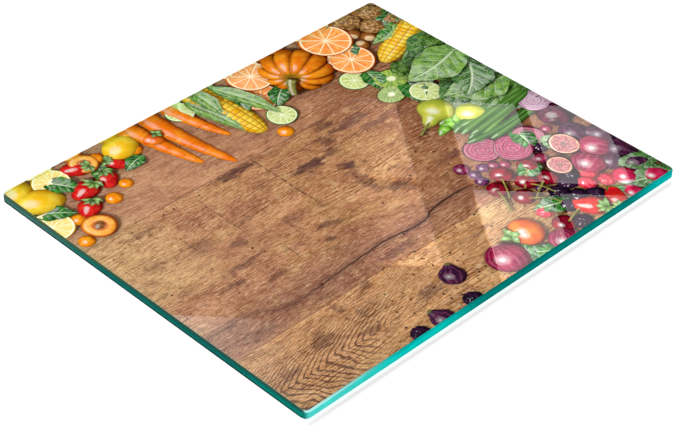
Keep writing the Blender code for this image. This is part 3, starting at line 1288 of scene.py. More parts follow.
# The last number of each is the way of its pole, in degrees.
STRAWBERRIES = (
    (-110, 97, 9.5, 200), (-95, 98, 8.5, 250), (-101, 116, 9.0, 160), (-82, 106, 8.0, 300),
    (-119, 83, 8.5, 220), (91, -112, 10.5, 130), (106, -118, 9.5, 60),
)


def strawberry_form(x, y, z):
    """A heart: broad at the stalk's end and drawn out to the tip, which is the pole."""
    fall = np.arccos(np.clip(z, -1, 1))
    heart = 0.86 + 0.42 * np.exp(-((fall / 0.62) ** 2))
    return heart - 0.10 * np.exp(-(((math.pi - fall) / 0.5) ** 2))


for x, y, radius, toward in STRAWBERRIES:
    put("strawberry", body(radius, strawberry_form, STRAWBERRY_LEAN, toward), (x, y))
    collar = away_from((x, y), 0.80 * radius, toward + 180)
    for spread in COLLAR_SPREADS:
        sepal = leaf(0.8 * radius, 0.36 * radius, ruffle=0.1, veins=0)
        put("leaf", sepal, collar, toward + spread, 0.55 * radius, SMALL_GREEN)
print("with strawberries", things_so_far())

# %% Cherries and berries
CHERRY_STEM_MM = 19
RASPBERRY, BLACKBERRY = 0.0, 1.0
CHERRIES = (
    (74, -57, 7.5), (62, -65, 7.0), (80, -71, 7.5), (68, -80, 7.2), (92, -62, 7.3), (92, -77, 7.4),
    (66, -112, 7.6),
)
BERRIES = (
    (113, -90, 6.5, RASPBERRY), (105, -96, 6.5, RASPBERRY), (116, -102, 6.3, RASPBERRY),
    (66, -97, 6.0, RASPBERRY), (86, -91, 7.0, BLACKBERRY), (97, -88, 6.8, BLACKBERRY),
    (92, -101, 7.0, BLACKBERRY), (80, -102, 6.6, BLACKBERRY), (75, -118, 7.0, BLACKBERRY),
    (-20, -121, 6.6, BLACKBERRY), (-61, -121, 6.4, BLACKBERRY), (-69, -127, 6.0, BLACKBERRY),
    (104, -84, 6.4, BLACKBERRY), (101, -106, 6.4, BLACKBERRY), (111, -54, 6.0, BLACKBERRY),
)
GOLDEN_BERRIES = (
    (-104, 80, 5.5), (-88, 116, 5.8), (-140, 60, 5.2), (-60, 121, 5.5), (-66, 108, 5.8),
    (12, 60, 5.4), (-90, 86, 4.6), (-131, 78, 5.4),
)
for x, y, radius in CHERRIES:
    lean, toward = dice.uniform(20, 55), dice.uniform(0, 360)
    put("cherry", body(radius, round_form(0.93, 0.16, 0.05), lean, toward), (x, y))
    root = away_from((x, y), 0.8 * radius * math.sin(math.radians(lean)), toward)
    line = bowed(root, away_from(root, CHERRY_STEM_MM, toward + 20), (3, 2))
    put("stem", tube(line, lambda share: 0.55), lift=0.75 * radius)
for x, y, radius, kind in BERRIES:
    put("berry", tumbled(radius, berry_form(44, 19, 0.22), 0, 80), (x, y), tint=kind)
for x, y, radius in GOLDEN_BERRIES:
    put("golden_berry", tumbled(radius, round_form(0.95, 0.08, 0.05), 10, 50), (x, y))
print("with cherries and berries", things_so_far())

# %% Radishes
RADISH_LEAN = 80
TAPROOT = 1.0
# The last number of each is the way of its pole, in degrees.
RADISHES = ((127, -107, 8.5, 230), (140, -118, 9.0, 120), (118, -120, 7.6, 250))
for x, y, radius, toward in RADISHES:
    put("radish", body(radius, round_form(1.05), RADISH_LEAN, toward), (x, y))
    root, end = (away_from((x, y), part * radius, toward) for part in (0.95, 2.1))
    taproot = tube(bowed(root, end, (1, 1)), lambda share: 1.3 * (1 - share) ** 1.5 + 0.15)
    put("radish", taproot, lift=0.2 * radius, tint=TAPROOT)
print("with radishes", things_so_far())

# %% Whole fruits
FRUIT_LEAN = 78
SEPAL_WAYS = (0, 90, 180, 270)
# Each kind's shape, then the middle, the radius and the way of the pole of each.
WHOLE_FRUITS = {
    "lemon": (
        pointed_form(1.22, 0.0, 0.12),
        ((-137, 106, 12, 150), (-70, 115, 11, 210), (-142, 121, 10, 60)),
    ),
    "red_onion": (
        pointed_form(0.94, 0.0, 0.10),
        ((20, -110, 13.5, 75), (121, -84, 12, 200), (136, -76, 12, 120), (56, -122, 11, 60)),
    ),
    "persimmon": (
        round_form(0.86, 0.06, 0.2, 4, 0.05),
        ((44, -102, 12.5, 160), (-51, 108, 8, 30)),
    ),
    "pear": (pointed_form(1.36, 0.9), ((91, 12, 13.5, 205), (106, -6, 13, 235))),
    "dark_fig": (
        pointed_form(1.15, 0.6),
        (
            (-13, -98, 8.5, 60), (-44, -119, 8.0, 100), (138, -56, 10, 70), (147, -68, 10, 130),
            (145, -84, 11, 100), (143, -100, 11, 60), (133, -91, 9, 30),
        ),
    ),
}
for kind, (form, places) in WHOLE_FRUITS.items():
    for x, y, radius, toward in places:
        put(kind, body(radius, form, FRUIT_LEAN, toward), (x, y))
        crown = away_from((x, y), 0.75 * radius, toward)
        if kind == "pear":
            end = away_from((x, y), 1.9 * radius, toward)[0], crown[1] - 6
            put("stem", tube(bowed(crown, end, (1, 1)), lambda share: 0.8), lift=0.45 * radius)
        for spread in SEPAL_WAYS if kind == "persimmon" else ():
            sepal = leaf(0.6 * radius, 0.4 * radius, 0, 0.1, 0)
            put("leaf", sepal, crown, spread + toward / 2, 0.6 * radius, SMALL_GREEN)
print("with whole fruits", things_so_far())

# %% Pumpkin, beetroot, broccoli and carrots
STALK = 1.0
BEETROOT = (143, -38, 12)
FLORETS = ((128, 47, 17), (146, 27, 15), (147, 66, 15), (112, 58, 10))
HEADS_AROUND = 7
# Each carrot: where it starts, bends and ends, and how thick half of it is.
CARROTS = (
    ((-56, 131), (-52, 100), (-44, 70), 7.5),
    ((-40, 131), (-40, 96), (-29, 58), 8.0),
    ((-26, 134), (-22, 104), (-14, 80), 6.5),
)


def carrot_taper(half):
    """A carrot's half width: blunt at the top, drawn out to the tip, and ringed a little."""
    return lambda share: half * (1 - share) ** 0.42 * (1 + 0.03 * np.sin(37 * share))


def put_head(place, radius, lift):
    """One head of a floret, covered with beads."""
    size = radius * dice.uniform(0.9, 1.12)
    put("broccoli", tumbled(size, berry_form(75, 13.5, 0.24), 0, 80), place, lift=lift)


put("pumpkin", body(25, round_form(0.80, 0.30, 0.06, 11, 0.16), 34, 215), (61, 103))
stalk = tube([(52, 97), (46, 92), (42, 84)], lambda share: 3.4 - 1.2 * share)
put("pumpkin", stalk, lift=17, tint=STALK)
put("beetroot", body(BEETROOT[2], round_form(0.92, 0.05, 0.1, 5, 0.05), 60, 160), BEETROOT[:2])
for x, y, radius in FLORETS:
    put_head((x, y), 0.5 * radius, 0.62 * radius)
    for number in range(HEADS_AROUND):
        place = away_from((x, y), 0.60 * radius, number * 360 / HEADS_AROUND)
        put_head(place, 0.40 * radius, 0.35 * radius)
for *line, half in CARROTS:
    put("carrot", tube(line, carrot_taper(half)), tint=half)
print("with vegetables", things_so_far())

# %% Nuts and corn
WALNUT, HAZELNUT = 0.0, 1.0
KERNEL_MM = 4.2
HUSK_GREEN = 0.15
NUTS = (
    (143, 118, 11, WALNUT), (124, 120, 11, WALNUT), (133, 106, 10.5, WALNUT),
    (147, 103, 9, WALNUT), (116, 108, 6.5, HAZELNUT), (112, 122, 6, HAZELNUT),
    (122, 99, 6, HAZELNUT), (112, 95, 5.5, HAZELNUT), (140, 94, 6, HAZELNUT),
    (134, 122, 5.5, HAZELNUT),
)
# Each husk leaf: where it starts, its way in degrees, its length, its width and its lift.
HUSKS = (
    (160, 84, 203, 50, 12, 2), (154, 102, 196, 40, 12, 2), (-12, 122, -82, 46, 13, 4),
    (9, 124, -74, 52, 13, 4), (-2, 128, -95, 30, 13, 9),
)


def shell_form(x, y, z):
    """A walnut's shell, wrinkled, with a ridge where its halves meet."""
    wrinkles = np.sin(9 * x + 2 * y + 1) * np.sin(8 * y - 3 * z)
    wrinkles = wrinkles + np.sin(13 * z + 6 * x) * np.sin(7 * y + 9 * x)
    return 0.95 + 0.035 * wrinkles + 0.07 * np.exp(-((y / 0.07) ** 2))


def cob(start, end, half):
    """A cob: rows of kernels along a tapered round."""

    def taper(share):
        return half * (1 - 0.35 * share**3) * np.sqrt(np.clip(1 - share**9, 0.02, 1))

    points, mark = tube(bowed(start, end, (1, 0)), taper)
    rows = np.sin(mark[..., 1] * math.pi / 2 * 3.5 * math.pi / 2) ** 2
    kernels = np.sin(mark[..., 2] / KERNEL_MM * math.pi) ** 2
    bead = np.sqrt(np.sqrt(np.clip(rows * kernels, 0, 1)))
    points[..., 2] = np.maximum(points[..., 2] + 1.1 * (bead - 1), 0)
    return points, mark


for x, y, radius, kind in NUTS:
    form = round_form(1.05, 0.0) if kind == HAZELNUT else shell_form
    put("nut", tumbled(radius, form, 10, 60), (x, y), tint=kind)
put("corn", cob((-2, 131), (3, 68), 11.5))
put("corn", cob((158, 92), (107, 72), 11.0))
for x, y, toward, length, width, lift in HUSKS:
    put("leaf", leaf(length, width, 0.05, 0.3, 0), (x, y), toward, lift, HUSK_GREEN)
print("with nuts and corn", things_so_far())

# %% Pods and beans
PEA = 1.0
PEAS_IN_POD = 6
PEA_RADIUS_MM = 3.3
FIRST_PEA_MM, PEA_STEP_MM = 8, 6.4
POD_LENGTH_MM, POD_RISE_MM = 48, 3.4
# Each pod and each bean: where it starts, and its way in degrees.
PODS = ((76, -6, 6), (84, 2, -14), (118, 13, -35))
BEANS = (
    (84, -10, 10), (86, -14, 4), (90, -18, 8), (82, -22, 2), (89, -26, 11), (92, -8, 5),
    (86, -20, 14), (96, -29, 6), (91, -13, 12),
)


def pod_width(share):
    """Half of a pod's width, which swells in the middle."""
    return 5.4 * np.sin(math.pi * share) ** 0.6 + 0.1


def bean_width(share):
    """Half of a bean's width, rounded off at both ends."""
    return 2.6 * np.minimum(1, 9 * np.minimum(share, 1 - share)) ** 0.5 + 0.1


for x, y, turn in PODS:
    put("pod", tube([(0, 0), (22, 7), (POD_LENGTH_MM, 0)], pod_width, 0.55), (x, y), turn, 1.0)
    for number in range(PEAS_IN_POD):
        way = FIRST_PEA_MM + PEA_STEP_MM * number
        rise = POD_RISE_MM * math.sin(math.pi * way / POD_LENGTH_MM)
        place = away_from(away_from((x, y), way, turn), rise, turn + 90)
        put("pod", body(PEA_RADIUS_MM, round_form(0.95)), place, lift=2.6, tint=PEA)
for x, y, turn in BEANS:
    bow = dice.uniform(-7, 7)
    bean = tube([(0, 0), (30, bow), (62, 0.3 * bow)], bean_width)
    put("bean", bean, (x, y), turn, dice.uniform(5, 10), dice.uniform(0, 1))
print("with pods and beans", things_so_far())

# %% Leaves
CHARD, SPINACH, BASIL = 0.1, 0.55, 1.0
# Each leaf: where it starts, its way, its length, its width, its kind and its lift.
LEAVES = (
    (156, 112, 200, 26, 18, BASIL, 3), (124, 88, 20, 24, 16, BASIL, 2),
    (106, 104, 230, 22, 15, BASIL, 2), (152, 52, 185, 50, 32, CHARD, 18),
    (128, 66, 240, 36, 24, SPINACH, 3), (150, 40, 220, 44, 28, SPINACH, 14),
    (152, 10, 165, 46, 30, CHARD, 8), (150, 20, 195, 48, 30, SPINACH, 3),
    (128, 30, 215, 38, 24, SPINACH, 2), (150, 78, 230, 40, 24, SPINACH, 6),
    (92, 72, 250, 22, 15, BASIL, 1), (104, 48, 245, 26, 18, BASIL, 1),
    (150, -2, 185, 46, 26, CHARD, 4), (152, -14, 172, 40, 22, SPINACH, 1),
    (112, -32, 250, 24, 15, BASIL, 1), (98, -62, 200, 22, 14, BASIL, 1),
    (128, -68, 120, 26, 16, SPINACH, 1), (84, -100, 160, 24, 15, BASIL, 1),
    (152, -108, 150, 26, 16, SPINACH, 4), (112, -108, 250, 24, 16, BASIL, 1),
    (150, -122, 160, 34, 20, SPINACH, 2), (46, -124, 140, 22, 12, BASIL, 1),
    (28, -122, 60, 18, 10, BASIL, 1), (-124, 118, 300, 24, 15, BASIL, 1),
    (-146, 98, 320, 24, 14, BASIL, 1), (-92, 110, 260, 20, 12, BASIL, 1),
    (14, 112, 250, 26, 15, BASIL, 1), (44, 96, 220, 24, 14, BASIL, 1),
    (-66, 100, 200, 18, 11, BASIL, 1),
)
for x, y, turn, length, width, kind, lift in LEAVES:
    put("leaf", leaf(length, width, dice.uniform(-0.1, 0.12), 0.8), (x, y), turn, lift, kind)
print("with leaves", things_so_far())

# %% Currants in the gaps
CURRANT_TRIES = 900
CURRANT_ALONG, CURRANT_ACROSS, CURRANT_RADIUS = (58, 150), (-122, -36), (3.4, 5.4)
CLOSEST_SHARE = 0.86
taken = [*CHERRIES, *BERRIES, *STRAWBERRIES, *RADISHES, *RINGED, *FIG_HALVES, BEETROOT]
taken += [fruit for _, places in WHOLE_FRUITS.values() for fruit in places]


def stands_clear(x, y, radius):
    """Whether a currant would lie in a gap, and inside the wavy border of the currants' corner."""
    apart = all(math.hypot(x - a, y - b) > CLOSEST_SHARE * (c + radius) for a, b, c, *_ in taken)
    return apart and x + 0.55 * y > 22 + 14 * math.sin(0.11 * y)


for _ in range(CURRANT_TRIES):
    x, y, radius = (dice.uniform(*span) for span in (CURRANT_ALONG, CURRANT_ACROSS, CURRANT_RADIUS))
    if stands_clear(x, y, radius):
        taken.append((x, y, radius))
        currant = tumbled(radius, round_form(0.97, 0.10, 0.03), 10, 60)
        put("currant", currant, (x, y), tint=dice.uniform(0, 1))
print("currants", len(things["currant"]), "of", things_so_far(), "things")

# %% [markdown]
# ## The light in the picture
# One soft sun stands to the left of the tabletop. To find where it is blocked, the heights of all
# things go on one map, and from each point the map is read step by step towards the sun. Corners
# and gaps get less of the sky, which shows as soon as the ground round a point is higher than the
# point itself. Blurring the map gives the height of that ground.

# %% A map of heights
CELL_MM = 0.75
MAP_MARGIN_MM = 60.0
AMBIENT_REACHES_MM = (1.5, 4.0, 10.0, 22.0)
map_columns, map_rows = (round((side / MM + 2 * MAP_MARGIN_MM) / CELL_MM) for side in PANE_SIZE[:2])


def map_place(x, y):
    """The row and the column of a place, counted in cells."""
    return (y / CELL_MM + map_rows / 2, x / CELL_MM + map_columns / 2)


def read_map(field, x, y):
    """Reads a map between its cells."""
    row, column = map_place(x, y)
    row = np.clip(row, 0, map_rows - 1.001)
    column = np.clip(column, 0, map_columns - 1.001)
    top, left = row.astype(int), column.astype(int)
    down, right = row - top, column - left
    upper = field[top, left] * (1 - right) + field[top, left + 1] * right
    lower = field[top + 1, left] * (1 - right) + field[top + 1, left + 1] * right
    return upper * (1 - down) + lower * down


def neighbours(field, pick):
    """The highest or lowest of each cell and the cells beside it."""
    for axis in (0, 1):
        field = pick(pick(np.roll(field, 1, axis), field), np.roll(field, -1, axis))
    return field


def blurred(field, reach_mm):
    """A map smoothed over a reach, by running means along both ways, done twice."""
    half = max(1, round(reach_mm / CELL_MM))
    for axis in (0, 1, 0, 1):
        total = np.cumsum(field, axis)
        field = (np.roll(total, -half, axis) - np.roll(total, half, axis)) / (2 * half)
        edge = [slice(None), slice(None)]
        edge[axis] = np.r_[0 : half + 1, -half - 1 : 0]
        field[tuple(edge)] = 0
    return field


heights = np.zeros((map_rows, map_columns))
for pieces in things.values():
    for points, _, _ in pieces:
        row, column = map_place(points[..., 0], points[..., 1])
        row = np.clip(np.rint(row).astype(int), 0, map_rows - 1)
        column = np.clip(np.rint(column).astype(int), 0, map_columns - 1)
        np.maximum.at(heights, (row, column), points[..., 2])
heights = neighbours(neighbours(heights, np.maximum), np.minimum)
grounds = [(reach, blurred(heights, reach)) for reach in AMBIENT_REACHES_MM]
print("tallest thing", round(heights.max(), 1), "mm")

# %% The light that the map leaves
SUN = Vector((-0.60, 0.10, 0.80)).normalized()
SUN_FLAT = math.hypot(SUN.x, SUN.y)
SUN_STEPS_MM = np.arange(1.5, 42.0, 0.75)
CLEARANCE_MM = 0.4
WOOD_SKY_SHARE = 0.5


def picture_light(x, y, z):
    """How much of the sun, and how much of the sky, each point sees."""
    sun, sky = np.ones_like(z), np.ones_like(z)
    for distance in SUN_STEPS_MM:
        there = x + SUN.x / SUN_FLAT * distance, y + SUN.y / SUN_FLAT * distance
        block = read_map(heights, *there) - z - CLEARANCE_MM - SUN.z / SUN_FLAT * distance
        sun = np.minimum(sun, 1 - np.clip(block / (0.8 + 0.14 * distance), 0, 1))
    for reach, ground_height in grounds:
        sky *= 1 - 0.5 * np.clip((read_map(ground_height, x, y) - z) / (1.3 * reach + 1), 0, 1)
    return sun, sky


film_sun, film_sky = picture_light(film_x / MM, film_y / MM, np.zeros_like(film_x))
film_level = np.ones(len(tabletop.data.vertices), dtype=np.float32)
film_level[: film_sun.size] = (WOOD_SKY_SHARE * film_sky + (1 - WOOD_SKY_SHARE) * film_sun).ravel()
tabletop.data.attributes.new("picture_light", "FLOAT", "POINT").data.foreach_set("value", film_level)
print("darkest place", round(float((film_sun * film_sky).min()), 2))

# %% [markdown]
# ## Pressing the things flat
# The heights are kept, but shrunk so much that the tallest thing is less than a quarter of a
# millimetre high. That way things still cross each other as they did in the round. What reaches
# past the film's edge is cut off there.

# %% From things to ink
INK_THICKNESS = 0.22 * MM
INK_GAP = 0.01 * MM
press = INK_THICKNESS / heights.max()


def held_in(x, y):
    """Moves points that lie beyond the picture back to its outline."""
    radius = (CORNER_RADIUS - 1.5 * PICTURE_INSET) / MM
    core_x, core_y = ((half - CORNER_RADIUS) / MM for half in (HALF_LENGTH, HALF_WIDTH))
    near_x, near_y = np.clip(x, -core_x, core_x), np.clip(y, -core_y, core_y)
    span = np.hypot(x - near_x, y - near_y)
    pull = np.minimum(1, radius / np.maximum(span, LEAST))
    return near_x + (x - near_x) * pull, near_y + (y - near_y) * pull, span > radius


def facing(points):
    """Which way the surface of a grid faces at each point."""
    normal = np.cross(np.gradient(points, axis=1), np.gradient(points, axis=0))
    normal *= np.where(normal[..., 2:] < 0, -1, 1)
    return normal / np.maximum(np.linalg.norm(normal, axis=-1, keepdims=True), LEAST)


def ink_piece(kind, material):
    """Joins all things of one kind into one thin layer of ink."""
    quads, rows = [], []
    count = 0
    for grid, mark, tint in things[kind]:
        size = grid.shape[:2]
        quads.append(quads_of(numbered(*size, count)))
        parts = [grid, mark, facing(grid), np.full((*size, 1), tint)]
        rows.append(np.concatenate(parts, -1).reshape(size[0] * size[1], -1))
        count += size[0] * size[1]
    rows, quads = np.concatenate(rows), np.concatenate(quads)
    x, y, beyond = held_in(rows[:, 0], rows[:, 1])
    used, quads = np.unique(quads[~beyond[quads].all(axis=1)], return_inverse=True)
    x, y = x[used] * MM, y[used] * MM
    place, mark, normal, tint = np.split(rows[used], (3, 6, 9), axis=1)
    sun, sky = picture_light(*place.T)
    height = PICTURE_HEIGHT + INK_GAP + press * place[:, 2] + rim_lift(x, y)
    points = np.column_stack([x, y, height]).tolist()
    piece = sheet("printed_" + kind, points, quads.reshape(-1, 4).tolist(), material)
    notes = {"form_normal": normal, "mark": mark, "shade": np.column_stack([sun, sky, tint])}
    for name, values in notes.items():
        layer = piece.data.attributes.new(name, "FLOAT_VECTOR", "POINT")
        layer.data.foreach_set("vector", values.astype(np.float32).ravel())
    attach(piece, "root")
    print(kind, len(piece.data.polygons), "faces")


print("a centimetre of height is pressed to", round(10 * press / MM, 3), "mm")

# %% [markdown]
# ## Printed skins
# Every finish of the picture follows one plan: a skin colour from nodes, times the printed light.
# The light has a soft part from the sky and a stronger one from the sun, and a small bright spot
# where a polished skin would throw the sun up at the reader.

# %% The printed light
SKY_SHARE = 0.62
SUN_SHARE = 0.62
GLINT = (SUN + Vector((0, 0, 1))).normalized()
GLINT_COLOUR = (0.95, 0.94, 0.90)
CORE_SPOT = (0.982, 0.992)


def printed(recipe, colour, shine=0.5, spot=(0.93, 0.995), grain=0.0, grain_scale=1.0, core=0.0):
    """The finished ink: a colour in the picture's light, with a spot of sun on it."""
    normal = recipe.attribute("form_normal")
    if grain:
        rough = recipe.noise(recipe.place_mm(), scale=grain_scale, out="Color")
        away = recipe.vector("SUBTRACT", rough, (0.5, 0.5, 0.5))
        normal = recipe.vector("ADD", normal, recipe.vector("SCALE", away, grain))
        normal = recipe.vector("NORMALIZE", normal)
    sun, sky, _ = recipe.split(recipe.attribute("shade"))
    to_sun = recipe.largest(recipe.vector("DOT_PRODUCT", normal, tuple(SUN)), 0.0)
    up = recipe.split(normal)[2]
    level = to_sun * sun * SUN_SHARE + sky * (up * 0.55 + 0.45) * SKY_SHARE
    deep = recipe.mix(1.0, colour, colour, "MULTIPLY")
    toned = recipe.mix(level.smooth(0.15, 0.85), recipe.mix(0.6, colour, deep), colour)
    toward = recipe.vector("DOT_PRODUCT", normal, tuple(GLINT))
    glint = toward.smooth(*spot, 0.0, shine)
    if core:
        glint = recipe.largest(glint, toward.smooth(*CORE_SPOT, 0.0, core))
    lit = recipe.mix(glint * sun, recipe.dimmed(toned, level), GLINT_COLOUR)
    return recipe.finish(recipe.principled(Base_Color=lit, Roughness=0.6, Specular_IOR_Level=0.0))


def marks_of(recipe):
    """The three marks of a point, as values."""
    return recipe.split(recipe.attribute("mark"))


def tint_of(recipe):
    """The number that tells a thing's own kind, such as a lime among citrus."""
    return recipe.split(recipe.attribute("shade"))[2]


def blotched(recipe, first, second, scale=0.35, low=0.35, high=0.65):
    """One colour drifting into another in soft blotches."""
    return recipe.mix(recipe.noise(recipe.place_mm(), 3.0, 0.5, scale).smooth(low, high), first, second)


def press_kinds(**kinds):
    """Presses the things of each kind flat, in the finish given."""
    for kind, material in kinds.items():
        ink_piece(kind, material)


print("kinds to print", list(things))

# %% [markdown]
# ## Cut faces
# A cut fruit shows flesh in wedges or rings, with seeds, pith and a thin skin round it all. Bands
# follow from how far out a point is, and wedges from its angle, and both come from its marks. Each
# kind is a few coats of colour over one another, as a painter would lay them.


# %% Citrus and kiwi flesh
def cut_marks(name):
    """A cut face's recipe, its marks, and how far out each point is, from 0 to 1."""
    recipe = Recipe(name)
    u, v, seed = marks_of(recipe)
    return recipe, u, v, seed, recipe.math("SQRT", u * u + v * v)


def citrus_print():
    recipe, u, v, seed, share = cut_marks("citrus_print")
    angle = recipe.math("ARCTAN2", v, u)
    tint = tint_of(recipe)
    orange, lime = tint.smooth(0.2, 0.4), tint.smooth(0.7, 0.9)

    def by_kind(lemon_code, orange_code, lime_code):
        return recipe.coats(lemon_code, (orange, orange_code), (lime, lime_code))

    pith = by_kind("fbf3cf", "fbdfb4", "e6edc4")
    grain = recipe.noise(recipe.join(share * 3.0, angle * 7.0, seed), 3.0)
    wall = abs((angle * 5.0).sine()) * (share + 0.02)
    colour = recipe.coats(
        by_kind("f4c531", "f0801a", "a9bd3e"),
        (grain.smooth(0.35, 0.7), by_kind("fbe58a", "fbb04e", "dce49a")),
        (wall.smooth(0.16, 0.07), pith),
        (share.smooth(0.12, 0.07), pith),
        (share.smooth(0.83, 0.87), pith),
        (share.smooth(0.91, 0.94), by_kind("f0b80e", "e8700a", "5f8c1c")),
    )
    return printed(recipe, colour, 0.25, (0.9, 1.0), 0.25, 1.2)


def kiwi_print():
    recipe, u, v, seed, share = cut_marks("kiwi_print")
    angle = recipe.math("ARCTAN2", v, u)
    rays = recipe.noise(recipe.join(share * 1.2, angle * 6.0, seed), 3.0)
    seeds = recipe.cells(recipe.join(share * 5.0, angle * 4.0, seed))
    belt = share.smooth(0.30, 0.36) * share.smooth(0.62, 0.52)
    colour = recipe.coats(
        "5f8a1a",
        (rays.smooth(0.35, 0.65), "a6c23a"),
        (share.smooth(0.30, 0.20), "e9ecc0"),
        (seeds.smooth(0.33, 0.26) * belt, "1c1a12"),
        (share.smooth(0.90, 0.94), "7a5a34"),
    )
    return printed(recipe, colour, 0.3, (0.9, 1.0), 0.2, 1.0)


press_kinds(citrus=citrus_print(), kiwi=kiwi_print())


# %% Red onion, beet, figs and apricots
def ringed_print():
    recipe, u, v, seed, share = cut_marks("ringed_print")
    beet = tint_of(recipe).smooth(0.3, 0.7)
    uneven = recipe.noise(recipe.join(share * 4.0, 0.0, seed), 1.0)
    bent = share + recipe.noise(recipe.join(u, v, seed), 2.0, 0.5, 2.0) * 0.12 + uneven * 0.22
    wave = (bent * 34.0).sine() * 0.5 + 0.5
    onion = recipe.coats(
        "cfa9bd",
        (wave.smooth(0.80, 0.97), "7a2054"),
        (wave.smooth(0.5, 0.0, 0.0, 0.5), "b07498"),
        (share.smooth(0.3, 0.95, 0.0, 0.45), "b06a98"),
    )
    root = recipe.mix(wave.smooth(0.35, 0.95), "7a0f38", "b0386a")
    skin = recipe.mix(beet, "6d1745", "3d0d22")
    colour = recipe.coats(onion, (beet, root), (share.smooth(0.92, 0.96), skin))
    return printed(recipe, colour, 0.35, (0.92, 1.0), 0.2, 0.8)


def fig_print():
    recipe, u, v, seed, share = cut_marks("fig_print")
    bent = recipe.noise(recipe.join(u, v, seed), 2.0, 0.5, 3.0) * 0.22 + share
    seeds = recipe.cells(recipe.join(u * 8.0, v * 8.0, seed))
    colour = recipe.coats(
        "7d1426",
        (seeds.smooth(0.62, 0.30), "b8404a"),
        (seeds.smooth(0.22, 0.12), "eebc80"),
        (bent.smooth(0.34, 0.18), "4c0c1a"),
        (bent.smooth(0.84, 0.92), "e2b08e"),
        (share.smooth(0.86, 0.90), "3a1636"),
    )
    return printed(recipe, colour, 0.35, (0.9, 1.0), 0.5, 1.2)


def apricot_print():
    recipe, _, _, _, share = cut_marks("apricot_print")
    colour = recipe.coats(
        blotched(recipe, "f29a2e", "f7b452"),
        (share.smooth(0.5, 0.40), "c8641c"),
        (share.smooth(0.84, 0.9), "e0742a"),
        (tint_of(recipe), blotched(recipe, "6e3f1e", "a06a38", 1.2)),
    )
    return printed(recipe, colour, 0.3, (0.93, 1.0), 0.3, 1.0)


press_kinds(ringed=ringed_print(), fig=fig_print(), apricot=apricot_print())

# %% [markdown]
# ## Seeds and wrinkles
# A strawberry's seeds sit in small pits all over it, and a walnut's shell is wrinkled. A pattern of
# cells gives the seeds, and a noise gives the wrinkles. Both are read on the thing's own round
# shape, so they crowd together towards its sides as they do on a real one.


# %% Strawberries and nuts
def strawberry_print():
    recipe = Recipe("strawberry_print")
    place = recipe.attribute("mark")
    seeds = recipe.cells(recipe.vector("SCALE", place, 6.5), randomness=0.6)
    toward_tip = recipe.split(place)[2]
    colour = recipe.coats(
        blotched(recipe, "c4141a", "d92a22"),
        (toward_tip.smooth(-0.5, -0.9), "eca68a"),
        (seeds.smooth(0.30, 0.20, 0.0, 0.55), "6e0a10"),
        (seeds.smooth(0.15, 0.09), "f0c860"),
    )
    return printed(recipe, colour, 0.45, (0.955, 0.995), 0.25, 0.8, 0.5)


def nut_print():
    """Walnut shells in pale brown with dark wrinkles, and smooth hazelnuts."""
    recipe = Recipe("nut_print")
    place = recipe.attribute("mark")
    lines = recipe.noise(place, 4.0, 0.65, 4.0, 0.8)
    shell = recipe.mix(lines.smooth(0.42, 0.62), "7c4f26", "cfa066")
    cap = recipe.split(place)[2].smooth(0.80, 0.88)
    hazelnut = recipe.coats("84481c", (lines.smooth(0.3, 0.7), "b06c30"), (cap, "d9b88a"))
    colour = recipe.mix(tint_of(recipe).smooth(0.3, 0.7), shell, hazelnut)
    return printed(recipe, colour, 0.10, (0.93, 1.0), 0.4, 0.7)


press_kinds(strawberry=strawberry_print(), nut=nut_print())

# %% [markdown]
# ## Skins of whole fruits
# Most whole fruits have the same skin but for its colours: soft blotches, and on some of them
# stripes from pole to pole, specks, or a tip of another colour. One finish takes all of that as
# values, so each fruit is a few numbers.


# %% One skin for many fruits
def whole(name, *pairs, blotch=0.35, stripe=None, speck=None, tip=None, **light):
    """A skin in blotches. With two pairs of colours, each thing's tint chooses between them."""
    recipe = Recipe(name + "_print")
    x, y, z = marks_of(recipe)
    mark = recipe.attribute("mark")
    colours = [blotched(recipe, first, second, blotch) for first, second in pairs]
    colour = colours[0]
    if len(pairs) > 1:
        colour = recipe.mix(tint_of(recipe).smooth(0.3, 0.7), *colours)
    if stripe:
        code, count, strength = stripe
        sway = recipe.noise(mark, 2.0, 0.5, 3.0)
        line = (recipe.math("ARCTAN2", y, x) * count + sway * 9.0).sine()
        colour = recipe.mix(line.smooth(0.1, 0.95, 0.0, strength), colour, code)
    if speck:
        code, size, strength = speck
        dots = recipe.cells(recipe.vector("SCALE", mark, size))
        colour = recipe.mix(dots.smooth(0.24, 0.08, 0.0, strength), colour, code)
    if tip:
        code, low, high = tip
        colour = recipe.mix(z.smooth(low, high), colour, code)
    return printed(recipe, colour, **{"shine": 0.4, "spot": (0.93, 1.0), "core": 0.8, **light})


print("whole fruits to skin", list(WHOLE_FRUITS))

